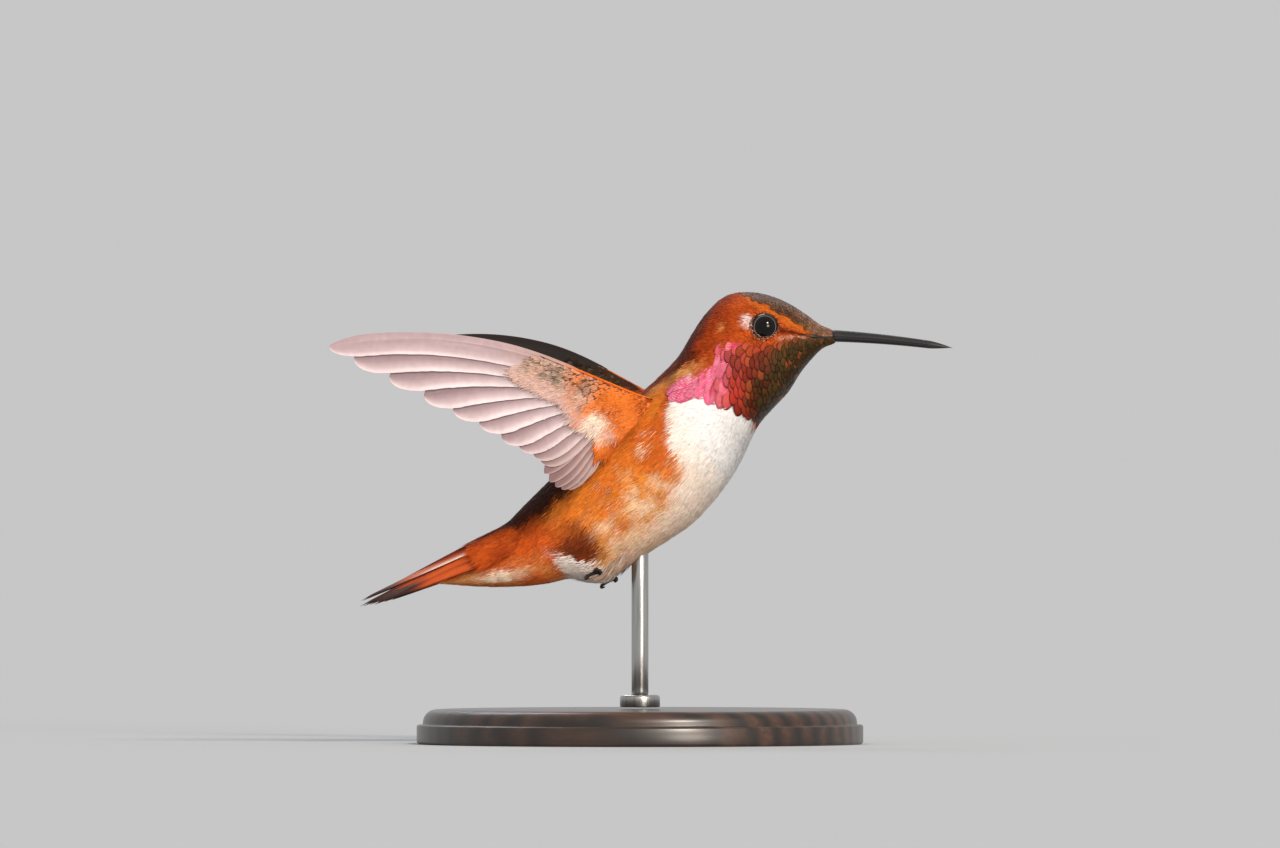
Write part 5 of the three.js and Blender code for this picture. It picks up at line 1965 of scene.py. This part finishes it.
@dataclass
class Feet:
    """Small black feet tucked against the belly: a short tarsus, three toes forward and one back."""

    tarsus: float = 0.35
    toe: float = 0.26
    fan: tuple = (-26.0, 0.0, 26.0, 180.0)
    curl: tuple = ((0.0, 0.0), (0.55, 0.03), (0.95, 0.1), (1.14, 0.24), (1.02, 0.4), (0.8, 0.45), (0.64, 0.4))
    claw_from: float = 0.62
    scutes: float = 9.0
    # Section number, degrees from the back and mm off the belly.
    places: tuple = (("left", 15.9, 160.0, 0.45), ("right", 16.0, 142.0, 0.12))

    def foot(self, name: str, v: float, angle: float, hang: float) -> Surface:
        """One foot. A toe is ringed by scutes up to its claw, which tapers to a point."""
        turn = SIDES[name] * np.radians(angle)
        spots = (v, hang), (v, -0.35), (v - 0.5, hang)
        ankle, knee, before = (BODY.point(np.array(at), np.array(turn), np.array(high)) for at, high in spots)
        ahead = unit(before - ankle)
        off = unit((ankle - knee) - np.dot(ankle - knee, ahead) * ahead)
        aside = np.cross(off, ahead)
        s = np.linspace(0, 1, 34)
        shank = self.tarsus * (1 - 0.15 * np.abs(np.sin(4 * np.pi * s)))
        parts = [tube(knee + (ankle - knee) * s[:, None], shank, 14, np.tile(Hue.FOOT.rgb, (len(s), 1)))]
        reach = catmull_rom(np.array(self.curl), s * (len(self.curl) - 1))
        ringed = self.toe * (1 - 0.3 * s) * (1 - 0.14 * np.abs(np.sin(self.scutes * np.pi * s)))
        past = np.clip(s - self.claw_from, 0, 1) / (1 - self.claw_from)
        claw = self.toe * 0.5 * (1 - past**1.3) + 0.015
        radius = np.where(s < self.claw_from, ringed, np.minimum(ringed, claw))
        tint = np.where((s < self.claw_from)[:, None], Hue.FOOT.rgb * 1.4, Hue.PUPIL.rgb)
        for fan in np.radians(self.fan):
            way = np.cos(fan) * ahead + np.sin(fan) * aside
            parts.append(tube(ankle + reach[:, :1] * way + reach[:, 1:] * off, radius, 10, tint))
        return join(parts)

    def build(self, scaly: Material) -> None:
        """Makes both feet."""
        for place in self.places:
            make(f"foot_{place[0]}", self.foot(*place), scaly, "foot_scale", f"leg_{place[0]}")


# ------------------------------------------------------------------ stand and studio


@dataclass
class Stand:
    """A turned wooden base, a steel collar and a thin steel rod up into the belly."""

    radius: float = 29.0
    height: float = 4.5
    rod: float = 1.1
    rod_top: float = 29.0
    gap: float = 0.3
    columns: int = 192

    def lathe(self, profile: list[Pair]) -> Surface:
        """A profile of radius and height, turned about the middle."""
        rings = turned(*np.array(profile, float).T, self.columns)
        return loft(rings, np.broadcast_to(Hue.LID.rgb, rings.shape))

    @staticmethod
    def arc(centre: Pair, size: float, start: float, end: float, steps: int) -> list[Pair]:
        """Points on an arc of a profile, between two angles in degrees."""
        t = np.radians(np.linspace(start, end, steps))
        return [(centre[0] + size * np.cos(k), centre[1] + size * np.sin(k)) for k in t]

    def base(self) -> Surface:
        """The base: eased foot, straight side, a fillet step and a rounded upper edge."""
        r, h = self.radius, self.height
        profile = [(0.01, 0.0), (r - 0.5, 0.0), *self.arc((r - 0.4, 0.4), 0.4, -80, 0, 6), (r, 2.3)]
        profile += [(r - 0.15, 2.5), (r - 0.75, 2.55), (r - 0.8, 2.75)]
        profile += self.arc((r - 2.55, h - 1.75), 1.75, 5, 90, 14)
        return self.lathe(profile + [(r - 6, h), (r - 14, h), (3.0, h), (0.01, h)])

    def collar(self) -> Surface:
        """The collar: a ring with rounded shoulders, its hole clear of the rod."""
        foot, top, bore, out = self.height + self.gap, self.height + self.gap + 1.6, self.rod + self.gap, 2.6
        section = [(bore, foot), (out - 0.1, foot), (out, foot + 0.1)]
        section += self.arc((out - 0.45, top - 0.45), 0.45, 0, 90, 8)
        section += [(bore + 0.1, top), (bore, top - 0.1)]
        rings = turned(*np.array(section).T, self.columns).transpose(1, 0, 2)
        return ring_loft(rings, np.broadcast_to(Hue.LID.rgb, rings.shape))

    def build(self, wood: Material, steel: Material) -> None:
        """Makes the stand's three pieces."""
        foot = self.height + self.gap
        r, top = self.rod, self.rod_top
        rod = [(0.01, foot), (r - 0.1, foot), (r, foot + 0.1), (r, 12.0), (r, 20.0)]
        rod += [(r, top - 0.1), (r - 0.1, top), (0.01, top)]
        make("display_base", self.base(), wood, "stand_wood", "stand_base")
        make("display_collar", self.collar(), steel, "stand_steel", "stand_collar")
        make("display_rod", self.lathe(rod), steel, "stand_steel", "stand_rod")


def look_along(way: Array) -> tuple[float, float, float]:
    """Euler angles that turn a lamp's or camera's -Z along a direction, with its top up."""
    return (float(np.arccos(-way[2])), 0.0, float(np.arctan2(way[1], way[0]) - np.pi / 2))


@dataclass(frozen=True)
class Lamp:
    """A large, far, soft source, as a sun lamp: its light is even over the whole floor."""

    name: str
    azimuth: float  # degrees from -Y towards +X
    elevation: float
    spread: float  # degrees that it takes up in the sky
    level: float  # how bright it makes a white surface that faces it
    colour: str

    @property
    def way(self) -> Array:
        """Direction from the bird to the lamp."""
        a, e = np.radians(self.azimuth), np.radians(self.elevation)
        return np.array([np.sin(a) * np.cos(e), -np.cos(a) * np.cos(e), np.sin(e)])

    def build(self) -> None:
        """Adds the lamp."""
        light = bpy.data.lights.new(self.name, "SUN")
        light.angle, light.energy = np.radians(self.spread), self.level * np.pi
        light.color = linear(self.colour)
        lamp = bpy.data.objects.new(self.name, light)
        lamp.rotation_euler = look_along(-self.way)
        lamp.location = self.way * 0.5
        bpy.context.scene.collection.objects.link(lamp)


@dataclass
class Studio:
    """A pale floor that meets pale surroundings of the same brightness, soft lamps and the camera. Metres."""

    azimuth: float = 9.0
    distance: float = 3.0
    aim: tuple = (0.0, 0.0, 0.04156)
    scale: float = 7.7  # pixels per mm at the aim, in a frame 1280 wide
    frame_width: int = 1280
    sensor: float = 36.0
    floor_rings: tuple = (0.001, 0.03, 0.06, 0.15, 0.5, 2.0, 8.0, 40.0)
    backdrop: float = 0.57
    lamps: tuple = (
        Lamp("key", 34, 36, 12, 0.72, "FFF5E8"), Lamp("fill", 34, 11, 20, 0.42, "FFF3E8"),
        Lamp("rim", 205, 42, 25, 0.22, "F4F7FF"),
    )

    def floor(self) -> None:
        """Makes a flat disc.

        Formula: the floor shines with its albedo times the backdrop's brightness plus each lamp's level times
        the sine of its elevation. The albedo is set so that this equals the backdrop, and no horizon shows.
        """
        lit = sum(lamp.level * lamp.way[2] * linear(lamp.colour) for lamp in self.lamps)
        paper = StudioPaper(tuple(self.backdrop / (self.backdrop + lit))).material()
        r = np.array(self.floor_rings) / MM
        disc = Surface(turned(r, 0 * r, 96).reshape(-1, 3), grid(len(r), 96)[:, [0, 3, 2, 1]])
        put_mesh("studio_floor", disc, paper)

    def camera(self) -> None:
        """Adds the camera."""
        scene = bpy.context.scene
        camera = bpy.data.cameras.new("camera")
        camera.sensor_width = self.sensor
        camera.lens = self.sensor * self.distance / (self.frame_width / self.scale * MM)
        camera.clip_start, camera.clip_end = 0.1, 2 * self.floor_rings[-1]
        holder = bpy.data.objects.new("camera", camera)
        a = np.radians(self.azimuth)
        back = np.array([np.sin(a), -np.cos(a), 0])
        holder.location = np.array(self.aim) + back * self.distance
        holder.rotation_euler = look_along(-back)
        scene.collection.objects.link(holder)
        scene.camera = holder

    def build(self) -> None:
        """Makes the floor, the lamps, the surroundings and the camera."""
        self.floor()
        for lamp in self.lamps:
            lamp.build()
        world = bpy.data.worlds.new("studio_surroundings")
        world.use_nodes = True
        background = world.node_tree.nodes["Background"]
        background.inputs["Color"].default_value = (1, 1, 1, 1)
        background.inputs["Strength"].default_value = self.backdrop
        scene = bpy.context.scene
        scene.world = world
        scene.view_settings.view_transform = "Standard"
        scene.view_settings.look = "None"
        self.camera()


def main() -> None:
    """Builds the studio and every piece of the bird and its stand."""
    logging.basicConfig(level=logging.INFO, format="%(name)s %(message)s")
    Studio().build()
    soft = ContourPlumage().material()
    shiny = ScaledPlumage("gorget_plumage", 0.12, 0.45, 9, 0.17, 0.95, 0.36).material()
    crown = ScaledPlumage("crown_plumage", 0.0, 0.6, 3, 0.15, 0.0, 0.25).material()
    vane = VanedFeather("flight_vane", 0.36, 1.5, 0.03).material()
    rectrix = VanedFeather("tail_vane", 0.3, 2.2, 0.12, 0.6).material()
    bare = TintedHide("bare_skin", 0.25, 0.6, 0.3).material()
    horn = TintedHide("bill_horn", 0.18, 0.42, 0.35, 0.05).material()
    scaly = TintedHide("foot_scale", 0.12, 0.5, 0.5).material()
    Skin().build(bare)
    Coat().build(soft)
    Gorget().build(shiny)
    Crown().build(crown)
    Wisps().build(soft)
    build_wings(vane, soft)
    Tail().build(rectrix)
    TailCoverts().build(soft)
    Eyes().build(WetEye().material(), bare)
    Bill().build(horn)
    Feet().build(scaly)
    Stand().build(StainedWalnut().material(), DrawnSteel().material())


if __name__ == "__main__":
    main()
